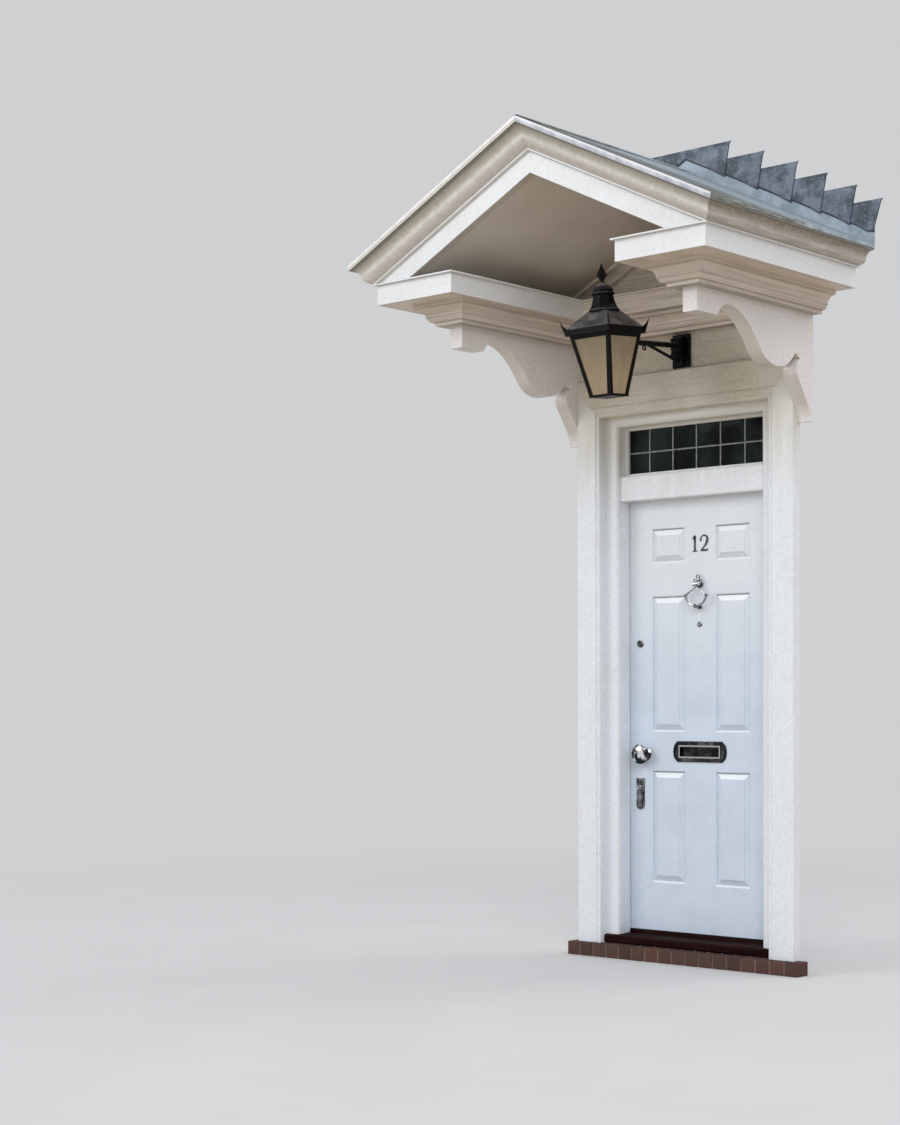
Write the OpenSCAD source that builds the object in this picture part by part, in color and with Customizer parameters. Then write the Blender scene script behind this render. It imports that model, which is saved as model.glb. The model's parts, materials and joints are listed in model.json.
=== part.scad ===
// Entrance porch: panelled door, frame and surround under an open-bed gabled canopy on scrolled brackets.
// X runs along the wall, +Y into the house, +Z up. The origin is on the wall's outer face,
// on the centre line, at paving level.

/* [Door] */
// Width of the door leaf
leaf_w = 838; // [762:1:914]
// Height of the door leaf
leaf_h = 1981; // [1950:1:2040]
// Thickness of the door leaf
leaf_t = 44; // [40:1:54]
// Gap between the leaf and the rebate on each side
leaf_gap = 5; // [3:0.5:8]
// Height of the leaf's foot above the paving
leaf_foot = 124; // [120:1:150]
// Distance from the centre line to a panel's near edge
panel_inner = 84; // [70:1:100]
// Distance from the centre line to a panel's far edge
panel_outer = 281; // [260:1:300]
// Depth of the sunk margin round a panel
panel_sink = 9; // [6:1:12]
// Width of the sloping margin round a panel's raised field
panel_bevel = 34; // [24:1:44]
// Depth of the small step round a panel's raised field
field_sink = 1.5; // [0.5:0.5:3]

/* [Frame and surround] */
// Depth of the door frame behind the wall's face
frame_d = 134; // [126:1:150]
// Depth from the wall's face to the back of the stops
stop_y = 85; // [70:1:95]
// How far the stops overlap the leaf
stop_lap = 12; // [8:1:18]
// Width of the frame's members
frame_w = 83; // [60:1:100]
// Radius of the round on the frame's inner edge
frame_round = 18; // [10:1:22]
// Height of the fanlight's clear opening
fanlight_h = 223; // [180:1:300]
// Height of the transom rail's face
transom_h = 114; // [90:1:140]
// Width of the fanlight's beads
bead_w = 20; // [12:1:26]
// Thickness of the fanlight's glass
glass_t = 6; // [4:1:12]
// Width of the surround's upright boards
board_w = 135; // [110:1:150]
// Thickness of the surround's boards
board_t = 50; // [36:1:60]
// Height of the frame head left showing under the header board
head_reveal = 44; // [36:1:60]
// Height of the header board over the opening
header_h = 181; // [150:1:220]
// Height of the frieze board
frieze_h = 156; // [120:1:200]
// Thickness of the frieze board
frieze_t = 30; // [22:1:40]

/* [Step and sill] */
// Height of the brick step
step_h = 62; // [50:1:90]
// Projection of the brick step from the wall
step_d = 78; // [60:1:120]
// How far the step runs past the surround on each side
step_past = 40; // [0:1:80]
// Thickness of the sill's nosing
sill_nose = 42; // [34:1:50]
// Projection of the sill's nosing from the wall
sill_d = 22; // [10:1:40]
// Height of the sill's upstand above its nosing
sill_rise = 20; // [14:1:26]

/* [Canopy] */
// Distance from the centre line to the cornice's outer face
cornice_x = 898; // [840:1:960]
// Projection of the cornice's front face from the wall
cornice_y = 1033; // [900:1:1150]
// Distance from the centre line to the cornice's inner face
cornice_in = 450; // [400:1:500]
// Height of the cornice's face
corona_h = 84; // [70:1:100]
// Height of the small fillet at the cornice's top
fillet_h = 6; // [4:1:10]
// Projection of the small fillet
fillet_p = 14; // [8:1:20]
// Height of the crown moulding's curve
crown_curve = 54; // [44:1:64]
// Projection of the crown moulding's curve
crown_run = 70; // [56:1:80]
// Height of the crown moulding's top edge
crown_edge = 20; // [12:1:26]
// Height of the bed moulding
bed_h = 86; // [70:1:100]
// Pitch of the roof
pitch = 25.3; // [20:0.1:30]
// Thickness of the raking cornice board
rake_t = 40; // [30:1:60]
// Thickness of the sloping ceiling boards
ceiling_t = 12; // [9:1:18]
// Thickness of the roof boards
deck_t = 18; // [15:1:24]
// Thickness of a rafter
rafter_t = 45; // [38:1:60]
// Thickness of the sheet lead
lead_t = 3; // [2.5:0.5:5]
// Height of the lead's edges turned down over the crown moulding
lead_turn = 14; // [10:1:20]
// Height of the lead turned up the wall over the roof
upstand_h = 78; // [70:1:100]

/* [Brackets] */
// Thickness of a bracket
bracket_t = 70; // [55:1:85]
// Height of a bracket
bracket_h = 450; // [420:1:480]
// Projection of a bracket
bracket_d = 806; // [780:1:830]
// Height of the bracket's nose
nose_h = 97; // [85:1:110]
// Length of the nose's flat underside
nose_d = 134; // [110:1:150]

/* [Lantern] */
// Width of the lantern's body at the top
lamp_top = 218; // [190:1:250]
// Width of the lantern's body at the foot
lamp_foot = 116; // [90:1:140]
// Height of the lantern's body
lamp_h = 268; // [230:1:300]
// Width of the rim round the lantern's roof
rim_w = 244; // [224:1:270]
// Height of the rim round the lantern's roof
rim_h = 26; // [20:1:36]
// Distance from the wall to the lantern's centre
lamp_y = 562; // [500:1:600]
// Droop of the lantern's arm
lamp_droop = 5; // [0:0.5:8]
// Diameter of the lantern's arm
arm_dia = 24; // [18:1:28]
// Distance from the bed moulding down to the lantern's arm
arm_drop = 56; // [50:1:80]

/* [Fittings] */
// Width of the letter plate
plate_w = 302; // [280:1:320]
// Height of the letter plate
plate_h = 94; // [80:1:110]
// Height of the letter plate's centre above the leaf's foot
plate_z = 822; // [800:1:850]
// Width of the letter plate's opening
aper_w = 222; // [200:1:240]
// Height of the letter plate's opening
aper_h = 44; // [38:1:50]
// Diameter of the door knob
knob_dia = 94; // [60:1:100]
// Projection of the door knob
knob_d = 62; // [55:1:80]
// Distance from the centre line to the knob's centre
knob_x = 318; // [310:1:345]
// Height of the knob above the leaf's foot
knob_z = 809; // [790:1:830]
// Distance from the centre line to the locks
lock_x = 345; // [335:1:360]
// Height of the night latch above the leaf's foot
latch_z = 1317; // [1290:1:1340]
// Height of the lower lock's plate above the leaf's foot
keyplate_z = 552; // [530:1:580]
// Height of the knocker's pivot above the leaf's foot
knocker_z = 1576; // [1560:1:1600]
// Width of the knocker's ring
ring_w = 133; // [110:1:140]
// Height of the knocker's ring below its pivot
ring_h = 103; // [95:1:115]
// Height of the door viewer above the leaf's foot
viewer_z = 1397; // [1385:1:1410]

/* [Hidden] */
$fn = 48;
eps = 0.01;
big = 3000;
// Paint and bedding between pieces that lie on a slope
seat = 0.2;

paint = [0.87, 0.88, 0.88];
lead = [0.34, 0.38, 0.43];
chrome = [0.62, 0.64, 0.67];
black_iron = [0.05, 0.05, 0.055];
timber = [0.72, 0.58, 0.4];
sill_paint = [0.16, 0.06, 0.05];
brick_red = [0.42, 0.22, 0.17];

// Door frame and leaf levels
leaf_front = stop_y + leaf_gap;
leaf_back = leaf_front + leaf_t;
leaf_half = leaf_w / 2;
leaf_top = leaf_foot + leaf_h;
rebate_x = leaf_half + leaf_gap;
rebate_top = leaf_top + leaf_gap;
stop_x = leaf_half - stop_lap;
frame_x = stop_x + frame_w;
transom_z = leaf_top - stop_lap;
transom_top = transom_z + transom_h;
head_z = transom_top + fanlight_h;
head_top = head_z + frame_w;
glass_y = 68;

// Surround levels
board_lap = 15;
board_in = frame_x - board_lap;
board_out = board_in + board_w;
header_z = head_z + head_reveal;
frieze_z = header_z + header_h;
bed_z = frieze_z + frieze_h;
bed_top = bed_z + bed_h;
cornice_z = bed_top;
cornice_top = cornice_z + corona_h + fillet_h;

// Bracket
bracket_in = board_out;
bracket_out = bracket_in + bracket_t;
bed_p = 116;

// Roof
slope = tan(pitch);
crown_p0 = fillet_p;
crown_p = crown_p0 + crown_run + 4;
crown_h = crown_curve + 2 + crown_edge;
crown_back = -30;
eave_x = cornice_x + crown_p;
eave_z = cornice_top + crown_h;
ridge_z = eave_z + eave_x * slope;
// Height of the raking cornice's lower edge at the centre line
rake_face = 76;
rake_z = cornice_z + corona_h + cornice_x * slope - rake_face / cos(pitch);
rake_x = (rake_z - cornice_top) / slope;
wall_corona_y = 190;
drip_in = 14;
drip_w = 8;
drip_d = 6;

function arc(c, r, a0, a1, step = 6) =
  let (n = max(2, ceil(abs(a1 - a0) / step)))
  [for (i = [0:n]) let (a = a0 + (a1 - a0) * i / n) c + r * [cos(a), sin(a)]];

// Points of a smooth curve between a and d, without its ends
function bezier(a, b, c, d, n = 12) =
  [for (i = [1:n - 1])
    let (t = i / n, u = 1 - t)
    u * u * u * a + 3 * u * u * t * b + 3 * u * t * t * c + t * t * t * d];

// Angle at circle A where the crossing tangent to circle B leaves it
function cross_angle(a, ra, b, rb, side) =
  let (d = b - a, dist = norm(d)) atan2(d[1], d[0]) + side * acos((ra + rb) / dist);

module mirrored(on) {
  if (on) mirror([1, 0, 0]) children();
  else children();
}

// Extrudes an outline drawn as (y, z) along X, from x0 to x1
module along_x(x0, x1) {
  translate([x0, 0, 0]) rotate([90, 0, 90]) linear_extrude(x1 - x0) children();
}

// Extrudes an outline drawn as (x, z) along Y, from y0 to y1
module along_y(y0, y1) {
  translate([0, y1, 0]) rotate([90, 0, 0]) linear_extrude(y1 - y0) children();
}

// Keeps what lies on the low side of the line through p at the given angle, seen from above
module keep_plan(p, angle) {
  intersection() {
    children();
    translate([p[0], p[1], -big / 2]) rotate([0, 0, angle])
      translate([-big, -big, 0]) cube([2 * big, big, 3 * big]);
  }
}

// Keeps what lies below the line through p at the given angle, seen from the front
module keep_face(p, angle) {
  intersection() {
    children();
    translate([p[0], 0, p[1]]) rotate([0, -angle, 0])
      translate([-big, -big, -2 * big]) cube([2 * big, 2 * big, 2 * big]);
  }
}

module box(lo, hi) {
  translate(lo) cube(hi - lo);
}

module brick_step() {
  half = board_out + step_past;
  color(brick_red) box([-half, -step_d, 0], [half, 0, step_h]);
}

module door_sill() {
  nose_z = step_h + sill_nose - 4;
  foot = leaf_foot - leaf_gap;
  color(sill_paint) along_x(-board_in, board_in) polygon(concat(
    [[frame_d, step_h], [-sill_d + 6, step_h]],
    arc([-sill_d + 10, step_h + 10], 10, 250, 180, 20),
    arc([-sill_d + 10, nose_z - 10], 10, 180, 90, 20),
    [[stop_y - 4, foot - sill_rise + 6], [stop_y, foot], [frame_d, foot]]));
}

// Section of a frame member: (0, 0) is its clear edge at the wall's face, x runs away from the opening
function frame_section() = concat(
  [[frame_w, 0]],
  arc([frame_round, frame_round], frame_round, 270, 180, 15),
  [[0, stop_y], [stop_lap + leaf_gap, stop_y], [stop_lap + leaf_gap, frame_d], [frame_w, frame_d]]);

module jamb(left) {
  mirrored(left) color(paint)
  keep_face([stop_x, head_z], 45)
  difference() {
    translate([stop_x, 0, step_h]) linear_extrude(head_top - step_h) polygon(frame_section());
    // The jamb is scribed over the sill
    sill_space();
  }
}

module sill_space() {
  foot = leaf_foot - leaf_gap;
  nose_z = step_h + sill_nose - 4;
  along_x(-big / 2, board_in) polygon([[-big / 2, -big / 2], [-big / 2, nose_z], [-sill_d + 10, nose_z],
    [stop_y - 4, foot - sill_rise + 6], [stop_y, foot], [big / 2, foot], [big / 2, -big / 2]]);
}

module left_jamb() { jamb(true); }
module right_jamb() { jamb(false); }

module frame_head() {
  color(paint) difference() {
    along_x(-frame_x, frame_x) translate([0, head_z]) polygon([for (p = frame_section()) [p[1], p[0]]]);
    for (m = [0, 1]) mirror([m, 0, 0])
      translate([stop_x, -big / 2, head_z]) rotate([0, -45, 0]) translate([0, 0, -big]) cube([big, big, big]);
  }
}

module transom_rail() {
  lap_z = rebate_top;
  color(paint) along_x(-stop_x, stop_x) polygon([[22, transom_z + 3], [25, transom_z], [stop_y, transom_z],
    [stop_y, lap_z], [frame_d, lap_z], [frame_d, transom_top], [glass_y + glass_t + 14, transom_top],
    [glass_y + glass_t + 14, transom_top - 0.5], [26, transom_top - 0.5], [22, transom_top - 5]]);
}

module fanlight_glass() {
  color([0.1, 0.12, 0.12])
    box([-stop_x + 6, glass_y, transom_top + 5.5], [stop_x - 6, glass_y + glass_t, head_z - 6]);
}

module fanlight_beads() {
  color(paint) for (y = [glass_y - 14, glass_y + glass_t]) difference() {
    box([-stop_x, y, transom_top - 0.5], [stop_x, y + 14, head_z]);
    box([-stop_x + bead_w, y - 1, transom_top + bead_w - 8], [stop_x - bead_w, y + 15, head_z - bead_w + 8]);
  }
}

// Section of an upright board in plan: (0, 0) is its inner edge at the wall, y is negative outwards
function pilaster_section() = concat(
  [[0, 0]],
  arc([10, -board_t + 10], 10, 180, 330, 15),
  [[22, -board_t + 5], [24, -board_t]],
  arc([board_w - 4, -board_t + 4], 4, 270, 360, 30),
  [[board_w, 0]]);

module pilaster(left) {
  mirrored(left) color(paint) keep_face([board_in, header_z], 45)
    translate([board_in, 0, step_h]) linear_extrude(header_z + board_w - step_h) polygon(pilaster_section());
}

module left_pilaster() { pilaster(true); }
module right_pilaster() { pilaster(false); }

module header_board() {
  color(paint) difference() {
    along_x(-board_out, board_out) polygon(concat(
      [[0, header_z], [-board_t + 12, header_z]],
      arc([-board_t + 12, header_z + 12], 12, 270, 180, 15),
      [[-board_t, header_z + 44], [-board_t + 4, header_z + 46], [-board_t + 4, header_z + 50],
      [-board_t, header_z + 52], [-board_t, frieze_z - 8], [-board_t + 8, frieze_z], [0, frieze_z]]));
    for (m = [0, 1]) mirror([m, 0, 0])
      translate([board_in, -big / 2, header_z]) rotate([0, -45, 0])
        translate([0, 0, -big]) cube([big, big, big]);
  }
}

module frieze_board() {
  color(paint) box([-board_out, -frieze_t, frieze_z], [board_out, 0, bed_top]);
}

// Bed moulding's outline: x is the projection, z the height above its foot
function bed_section() = concat(
  [[0, 0], [46, 0], [46, 14], [52, 14]],
  arc([52, 34], 20, 270, 360, 15),
  [[bed_p - 40, 34]],
  arc([bed_p - 6, bed_h - 48], 34, 180, 90, 10),
  [[bed_p, bed_h - 14], [bed_p, bed_h], [0, bed_h]]);

module bed_mould(left) {
  section = bed_section();
  mirrored(left) color(paint) difference() {
    intersection() {
      along_y(-bracket_d - bed_p, 0) translate([0, bed_z]) polygon(concat(
        [for (p = section) [bracket_out + p[0], p[1]]],
        [for (i = [len(section) - 1:-1:0]) [bracket_in - section[i][0], section[i][1]]]));
      along_x(0, 2 * bracket_out) translate([0, bed_z]) polygon(concat(
        [[0, 0]], [for (p = section) [-bracket_d - p[0], p[1]]], [[0, bed_h]]));
    }
    // The wall moulding takes the inner corner, and the frieze board the wall behind it
    translate([bracket_in, -frieze_t, 0]) rotate([0, 0, 225])
      translate([0, -big, 0]) cube([big, big, 2 * big]);
    box([-big, -frieze_t, 0], [bracket_in, big, 2 * big]);
  }
}

module left_bed_mould() { bed_mould(true); }
module right_bed_mould() { bed_mould(false); }

module wall_bed_mould() {
  section = bed_section();
  color(paint) difference() {
    along_x(-bracket_in, bracket_in) translate([0, bed_z])
      polygon([for (p = section) [-frieze_t - p[0], p[1]]]);
    for (m = [0, 1]) mirror([m, 0, 0])
      translate([bracket_in, -frieze_t, 0]) rotate([0, 0, 225]) cube([big, big, 2 * big]);
  }
}

// Outline of a bracket as (y, z): y is negative outwards, z is measured from the bracket's head.
// From the front: nose, arch, long S, round belly, cusp, small scroll and a thin hollow tail.
function bracket_outline() =
  let (
    arch_r = 86,
    arch = [-bracket_d + nose_d + 82, -nose_h - 33],
    belly_r = 150,
    belly = [-262, -nose_h - 1],
    curl = [-68, -bracket_h + 209],
    curl_r = 55,
    cove = [-150, -bracket_h],
    cove_r = 130,
    a1 = cross_angle(curl, curl_r, cove, cove_r, -1),
    from = arch + arch_r * [cos(80), sin(80)],
    to = belly + belly_r * [cos(216), sin(216)],
    pull = norm(to - from) * 0.36
  )
  concat(
    [[0, 0], [-bracket_d, 0], [-bracket_d, -nose_h], [-bracket_d + nose_d, -nose_h]],
    arc(arch, arch_r, 156, 80),
    bezier(from, from + pull * [cos(10), -sin(10)], to - pull * [cos(54), -sin(54)], to),
    arc(belly, belly_r, 216, 329),
    arc(curl, curl_r, 122, a1 + 360),
    arc(cove, cove_r, a1 + 180, 0),
    [[0, -bracket_h]]);

module bracket(left) {
  mirrored(left) color(paint) along_x(bracket_in, bracket_out)
    translate([0, bed_z]) polygon(bracket_outline());
}

module left_bracket() { bracket(true); }
module right_bracket() { bracket(false); }

module cornice(left) {
  mirrored(left) color(paint) {
    top = cornice_top;
    difference() {
      union() {
        box([cornice_in, -cornice_y, cornice_z], [cornice_x, 0, top]);
        box([cornice_in - fillet_p, -cornice_y - fillet_p, top - fillet_h],
          [cornice_x + fillet_p, 0, top]);
      }
      // The wall's cornice takes the inner corner
      translate([cornice_in, -wall_corona_y, 0]) rotate([0, 0, 225])
        translate([0, -big, 0]) cube([big, big, 2 * big]);
      box([-big, -wall_corona_y, 0], [cornice_in, big, 2 * big]);
      // Drip groove under the face
      for (x = [cornice_in + drip_in, cornice_x - drip_in - drip_w])
        box([x, -cornice_y + drip_in, cornice_z - 1], [x + drip_w, 1, cornice_z + drip_d]);
      box([cornice_in + drip_in, -cornice_y + drip_in, cornice_z - 1],
        [cornice_x - drip_in, -cornice_y + drip_in + drip_w, cornice_z + drip_d]);
    }
  }
}

module left_cornice() { cornice(true); }
module right_cornice() { cornice(false); }

module wall_corona() {
  top = cornice_top;
  color(paint) difference() {
    union() {
      box([-cornice_in, -wall_corona_y, cornice_z], [cornice_in, 0, top]);
      box([-cornice_in, -wall_corona_y - fillet_p, top - fillet_h], [cornice_in, 0, top]);
    }
    for (m = [0, 1]) mirror([m, 0, 0])
      translate([cornice_in, -wall_corona_y, 0]) rotate([0, 0, 225]) cube([big, big, 2 * big]);
  }
}

// Crown moulding's outline: x is the projection from the cornice's face, z the height above its top
function crown_section() = concat(
  [[crown_p0, 0]],
  [for (p = arc([0, 0], 0.5, -90, 0, 10)) [crown_p0 + p[0] * crown_run, 2 + (0.5 + p[1]) * crown_curve]],
  [for (p = arc([1, 0], 0.5, 180, 90, 10)) [crown_p0 + p[0] * crown_run, 2 + (0.5 + p[1]) * crown_curve]],
  [[crown_p, crown_curve + 2], [crown_p, crown_h]]);

module eaves_crown(left) {
  mirrored(left) color(paint)
  keep_plan([cornice_x, -cornice_y], 135)
  along_y(-cornice_y - crown_p, 0) translate([cornice_x, cornice_top]) polygon(concat(
    [[crown_back, crown_h + (crown_p - crown_back) * slope], [crown_back, 0]], crown_section()));
}

module left_eaves_crown() { eaves_crown(true); }
module right_eaves_crown() { eaves_crown(false); }

// Length that a raking piece runs past the eave before it is mitred
rake_run = 400;
// Places an outline drawn as (projection, height square to the slope) along the right-hand rake.
// Its zero height is the level of the cornice's top where the rake meets the side's face.
module along_rake(lo, hi) {
  translate([cornice_x, -cornice_y, cornice_top]) rotate([0, pitch, 0])
    translate([lo, 0, 0]) rotate([90, 0, 90]) linear_extrude(hi - lo) children();
}

module half_x(x) {
  intersection() {
    children();
    translate([x, -big, -big]) cube([big, 2 * big, 3 * big]);
  }
}

module rake_crown(left) {
  c = cos(pitch);
  roof = (crown_h + crown_p * slope) * c;
  mirrored(left) color(paint) half_x(0)
  difference() {
    along_rake(-2 * cornice_x, rake_run) polygon(concat(
      [for (p = crown_section()) [-p[0], (p[1] + p[0] * slope) * c]],
      [[-crown_back, roof], [-crown_back, crown_p0 * slope * c]]));
    translate([cornice_x, -cornice_y, 0]) rotate([0, 0, -45])
      translate([-big, 0, 0]) cube([2 * big, big, 2 * big]);
  }
}

module left_rake_crown() { rake_crown(true); }
module right_rake_crown() { rake_crown(false); }

module rake_corona(left) {
  c = cos(pitch);
  mirrored(left) color(paint) half_x(0) keep_plan([cornice_x, -cornice_y], -45)
  intersection() {
    along_rake(-2 * cornice_x, rake_run) polygon([[0, -fillet_h * c],
      [-fillet_p, (fillet_p * slope - fillet_h) * c], [-fillet_p, crown_p0 * slope * c],
      [rake_t, crown_p0 * slope * c],
      [rake_t, -fillet_h * c - rake_face], [0, -fillet_h * c - rake_face]]);
    box([0, -2 * cornice_y, cornice_top], [cornice_x + bracket_d, 0, big * 2]);
  }
}

module left_rake_corona() { rake_corona(true); }
module right_rake_corona() { rake_corona(false); }

// A board that follows the roof's slope: top is its upper face's height at the centre line
module slope_board(top, t, x0, x1, y0, y1) {
  c = cos(pitch);
  along_y(y0, y1) polygon([[x0, top - x0 * slope], [x1, top - x1 * slope],
    [x1, top - x1 * slope - t / c], [x0, top - x0 * slope - t / c]]);
}

module ceiling(left) {
  c = cos(pitch);
  mirrored(left) color(paint)
    slope_board(rake_z + ceiling_t / c, ceiling_t, 0, rake_x, -cornice_y + rake_t, -frieze_t);
}

module left_ceiling() { ceiling(true); }
module right_ceiling() { ceiling(false); }

module rear_tympanum() {
  rise = ceiling_t / cos(pitch);
  color(paint) along_y(-frieze_t, 0) polygon([[-rake_x, cornice_top], [rake_x, cornice_top],
    [rake_x, cornice_top + rise], [0, rake_z + rise], [-rake_x, cornice_top + rise]]);
}

// Raking bed moulding against the tympanum: x is the depth below the ceiling, y the projection
function rear_section() = concat(
  [[0, 0], [0, 62], [14, 62]],
  arc([52, 62], 38, 180, 270, 10),
  [[52, 20]],
  arc([70, 20], 18, 180, 270, 15),
  [[116, 0]]);

module rear_rake_mould() {
  color(paint) for (m = [0, 1]) mirror([m, 0, 0]) half_x(0) intersection() {
    translate([0, -frieze_t, rake_z - seat]) rotate([0, pitch, 0]) rotate([90, 0, 90])
      translate([0, 0, -cornice_in]) linear_extrude(2 * cornice_x)
        polygon([for (p = rear_section()) [-p[1], -p[0]]]);
    box([0, -big, cornice_top], [rake_x, 0, big * 2]);
  }
}

module rafters(left) {
  c = cos(pitch);
  low = rake_z + ceiling_t / c;
  high = ridge_z - deck_t / c;
  reach = cornice_x + crown_back;
  mirrored(left) color(timber) for (y = [-rafter_t, -cornice_y / 2, -cornice_y + rake_t])
    intersection() {
      along_y(y, y + rafter_t) polygon([[0, low], [reach, low - reach * slope],
        [reach, high - reach * slope], [0, high]]);
      box([0, -big, cornice_top], [reach, big, 2 * big]);
    }
}

module left_rafters() { rafters(true); }
module right_rafters() { rafters(false); }

module roof_boards(left) {
  mirrored(left) color(timber)
    slope_board(ridge_z, deck_t, 0, cornice_x + crown_back, -cornice_y - crown_back, 0);
}

module left_roof_boards() { roof_boards(true); }
module right_roof_boards() { roof_boards(false); }

// A sheet on the wall that follows the roof's slope, from lo to hi above the lead
module wall_band(lo, hi, y0, y1) {
  base = ridge_z + (lead_t + seat) / cos(pitch);
  end_x = eave_x + lead_t;
  along_y(y0, y1) polygon([[0, base + lo], [end_x, base - end_x * slope + lo],
    [end_x, base - end_x * slope + hi], [0, base + hi]]);
}

module lead_sheet(left) {
  c = cos(pitch);
  top = ridge_z + (lead_t + seat) / c;
  front = -cornice_y - crown_p - seat;
  mirrored(left) color(lead) {
    slope_board(top, lead_t, 0, eave_x + lead_t, front - lead_t, 0);
    // Edges turned down over the crown moulding
    slope_board(top, lead_turn, 0, eave_x + lead_t, front - lead_t, front);
    box([eave_x + seat, front - lead_t, eave_z - lead_turn], [eave_x + seat + lead_t, 0, eave_z]);
    // Upstand against the wall
    wall_band(0, upstand_h, -lead_t, 0);
  }
}

module left_lead() { lead_sheet(true); }
module right_lead() { lead_sheet(false); }

// Stepped lead over the upstand: each step tops out at a brick course and its end leans outwards.
// step_ends gives where the steps end, counted in steps of even width from the eave.
course = 75;
flash_t = 5;
flash_lap = 18;
step_ends = [0, 0.79, 1.72, 2.67, 3.79, 4.93];
step_w = course / slope;
step_z = 189;
step_past_eave = 44;
step_lean = 15;
module flashing(left) {
  foot = ridge_z + upstand_h - flash_lap;
  ends = [for (e = step_ends) eave_x + step_past_eave - e * step_w];
  last = len(ends) - 1;
  mirrored(left) color(lead) difference() {
    along_y(-lead_t - flash_t, 0) polygon(concat(
      [[0, foot], [eave_x + lead_t, foot - (eave_x + lead_t) * slope]],
      [for (k = [0:last], end = [0, 1])
        [end == 0 ? ends[k] : k < last ? ends[k + 1] - step_lean : 0, eave_z + step_z + k * course]]));
    wall_band(-course, upstand_h + seat, -lead_t - seat, 1);
  }
}

module left_flashing() { flashing(true); }
module right_flashing() { flashing(false); }

// The lantern hangs from its arm, and both droop together about the arm's root
arm_z = bed_z - arm_drop;
rim_lap = 6;
// Depth of the arm's end below the top of the lantern's body
arm_low = 27;
lamp_z = arm_z - lamp_h + arm_low;
lean_run = (lamp_top - lamp_foot) / lamp_h;
// Distance from the lantern's centre to its body's face at height z
function lamp_face(z) = lamp_top / 2 - (lamp_z + lamp_h - z) * lean_run / 2;
arm_end = lamp_y - rim_w / 2;
module drooped() {
  translate([0, -frieze_t, arm_z]) rotate([lamp_droop, 0, 0]) translate([0, frieze_t, -arm_z]) children();
}

// A square frustum, w0 wide at z0 and w1 wide at z1, made t thinner on each side
module taper(w0, w1, z0, z1, t = 0) {
  a0 = w0 / 2 - t;
  a1 = w1 / 2 - t;
  polyhedron([[-a0, -a0, z0], [a0, -a0, z0], [a0, a0, z0], [-a0, a0, z0],
    [-a1, -a1, z1], [a1, -a1, z1], [a1, a1, z1], [-a1, a1, z1]],
    [[0, 1, 2, 3], [4, 5, 1, 0], [5, 6, 2, 1], [6, 7, 3, 2], [7, 4, 0, 3], [7, 6, 5, 4]]);
}

// A round rod between two points given as (y, z)
module rod(from, to, dia) {
  run = to - from;
  translate([0, from[0], from[1]]) rotate([atan2(-run[0], run[1]), 0, 0]) cylinder(d = dia, h = norm(run));
}

// An iron scroll's eye, seen along X
module eye(y, z, outer, dia) {
  translate([0, y, z]) rotate([0, 90, 0]) rotate_extrude() translate([(outer - dia) / 2, 0]) circle(d = dia);
}

module lantern_arm() {
  plate_foot = frieze_z + 2;
  plate_top = bed_z - 8;
  plate_y = frieze_t + 16;
  box_y = plate_y + 42;
  strut_dia = 14;
  strut_top = [-arm_end + 142, arm_z];
  shoe_top = arm_z + 14;
  shoe_foot = arm_z - 24;
  shoe_y = -lamp_y + lamp_face(shoe_top) + 9;
  color(black_iron) {
    box([-46, -plate_y, plate_foot], [46, -frieze_t, plate_top]);
    along_x(-24, 24) polygon([[-plate_y + 1, plate_top - 6], [-box_y, plate_top - 22], [-box_y, arm_z - 18],
      [-plate_y - 14, plate_foot + 10], [-plate_y + 1, plate_foot + 6]]);
    drooped() {
      rod([-plate_y - 12, arm_z], [shoe_y - 1, arm_z], arm_dia);
      // Shoe that lies on the lantern's back strap
      along_x(-14, 14) polygon([[shoe_y, shoe_foot], [shoe_y, shoe_top],
        [-lamp_y + lamp_face(shoe_top) + seat, shoe_top], [-lamp_y + lamp_face(shoe_foot) + seat, shoe_foot]]);
      rod([-plate_y - 8, plate_foot + 22], strut_top, strut_dia);
      eye(-arm_end + 136, arm_z - arm_dia / 2 - 8, 26, 7);
      eye(-box_y - 14, arm_z - 44, 34, 8);
    }
  }
}

// Body bars and rails
bar_t = 6;
bar_w = 16;
foot_rail = 10;
head_rail = 22;
module lantern_frame() {
  color(black_iron) drooped() translate([0, -lamp_y, lamp_z]) difference() {
    union() {
      taper(lamp_foot, lamp_top, 0, lamp_h);
      taper(lamp_foot + 6, lamp_foot + 6, 0, foot_rail / 2);
    }
    taper(lamp_foot + foot_rail / 2 * lean_run, lamp_top, foot_rail / 2, lamp_h + eps, bar_t);
    for (a = [0, 90]) rotate([0, 0, a]) difference() {
      along_y(-lamp_top, lamp_top) polygon([
        [-lamp_foot / 2 + bar_w, foot_rail], [lamp_foot / 2 - bar_w, foot_rail],
        [lamp_top / 2 - bar_w - 4, lamp_h - head_rail], [-lamp_top / 2 + bar_w + 4, lamp_h - head_rail]]);
      // Strap at the back for the arm
      if (a == 0) box([-18, 0, lamp_h - 62], [18, lamp_top, lamp_h]);
    }
  }
}

module lantern_panes() {
  pane_t = 3;
  lean = atan(lean_run / 2);
  side = bar_t + pane_t + 1;
  low = foot_rail / 2 + 2;
  high = (lamp_h - 4) / cos(lean);
  color([0.85, 0.72, 0.5]) drooped() translate([0, -lamp_y, lamp_z]) for (a = [0:90:270]) rotate([0, 0, a])
    translate([0, -lamp_foot / 2 + bar_t + seat, 0]) rotate([lean, 0, 0]) along_y(0, pane_t) polygon([
      [-lamp_foot / 2 - low * sin(lean) + side, low], [lamp_foot / 2 + low * sin(lean) - side, low],
      [lamp_foot / 2 + high * sin(lean) - side, high], [-lamp_foot / 2 - high * sin(lean) + side, high]]);
}

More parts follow.
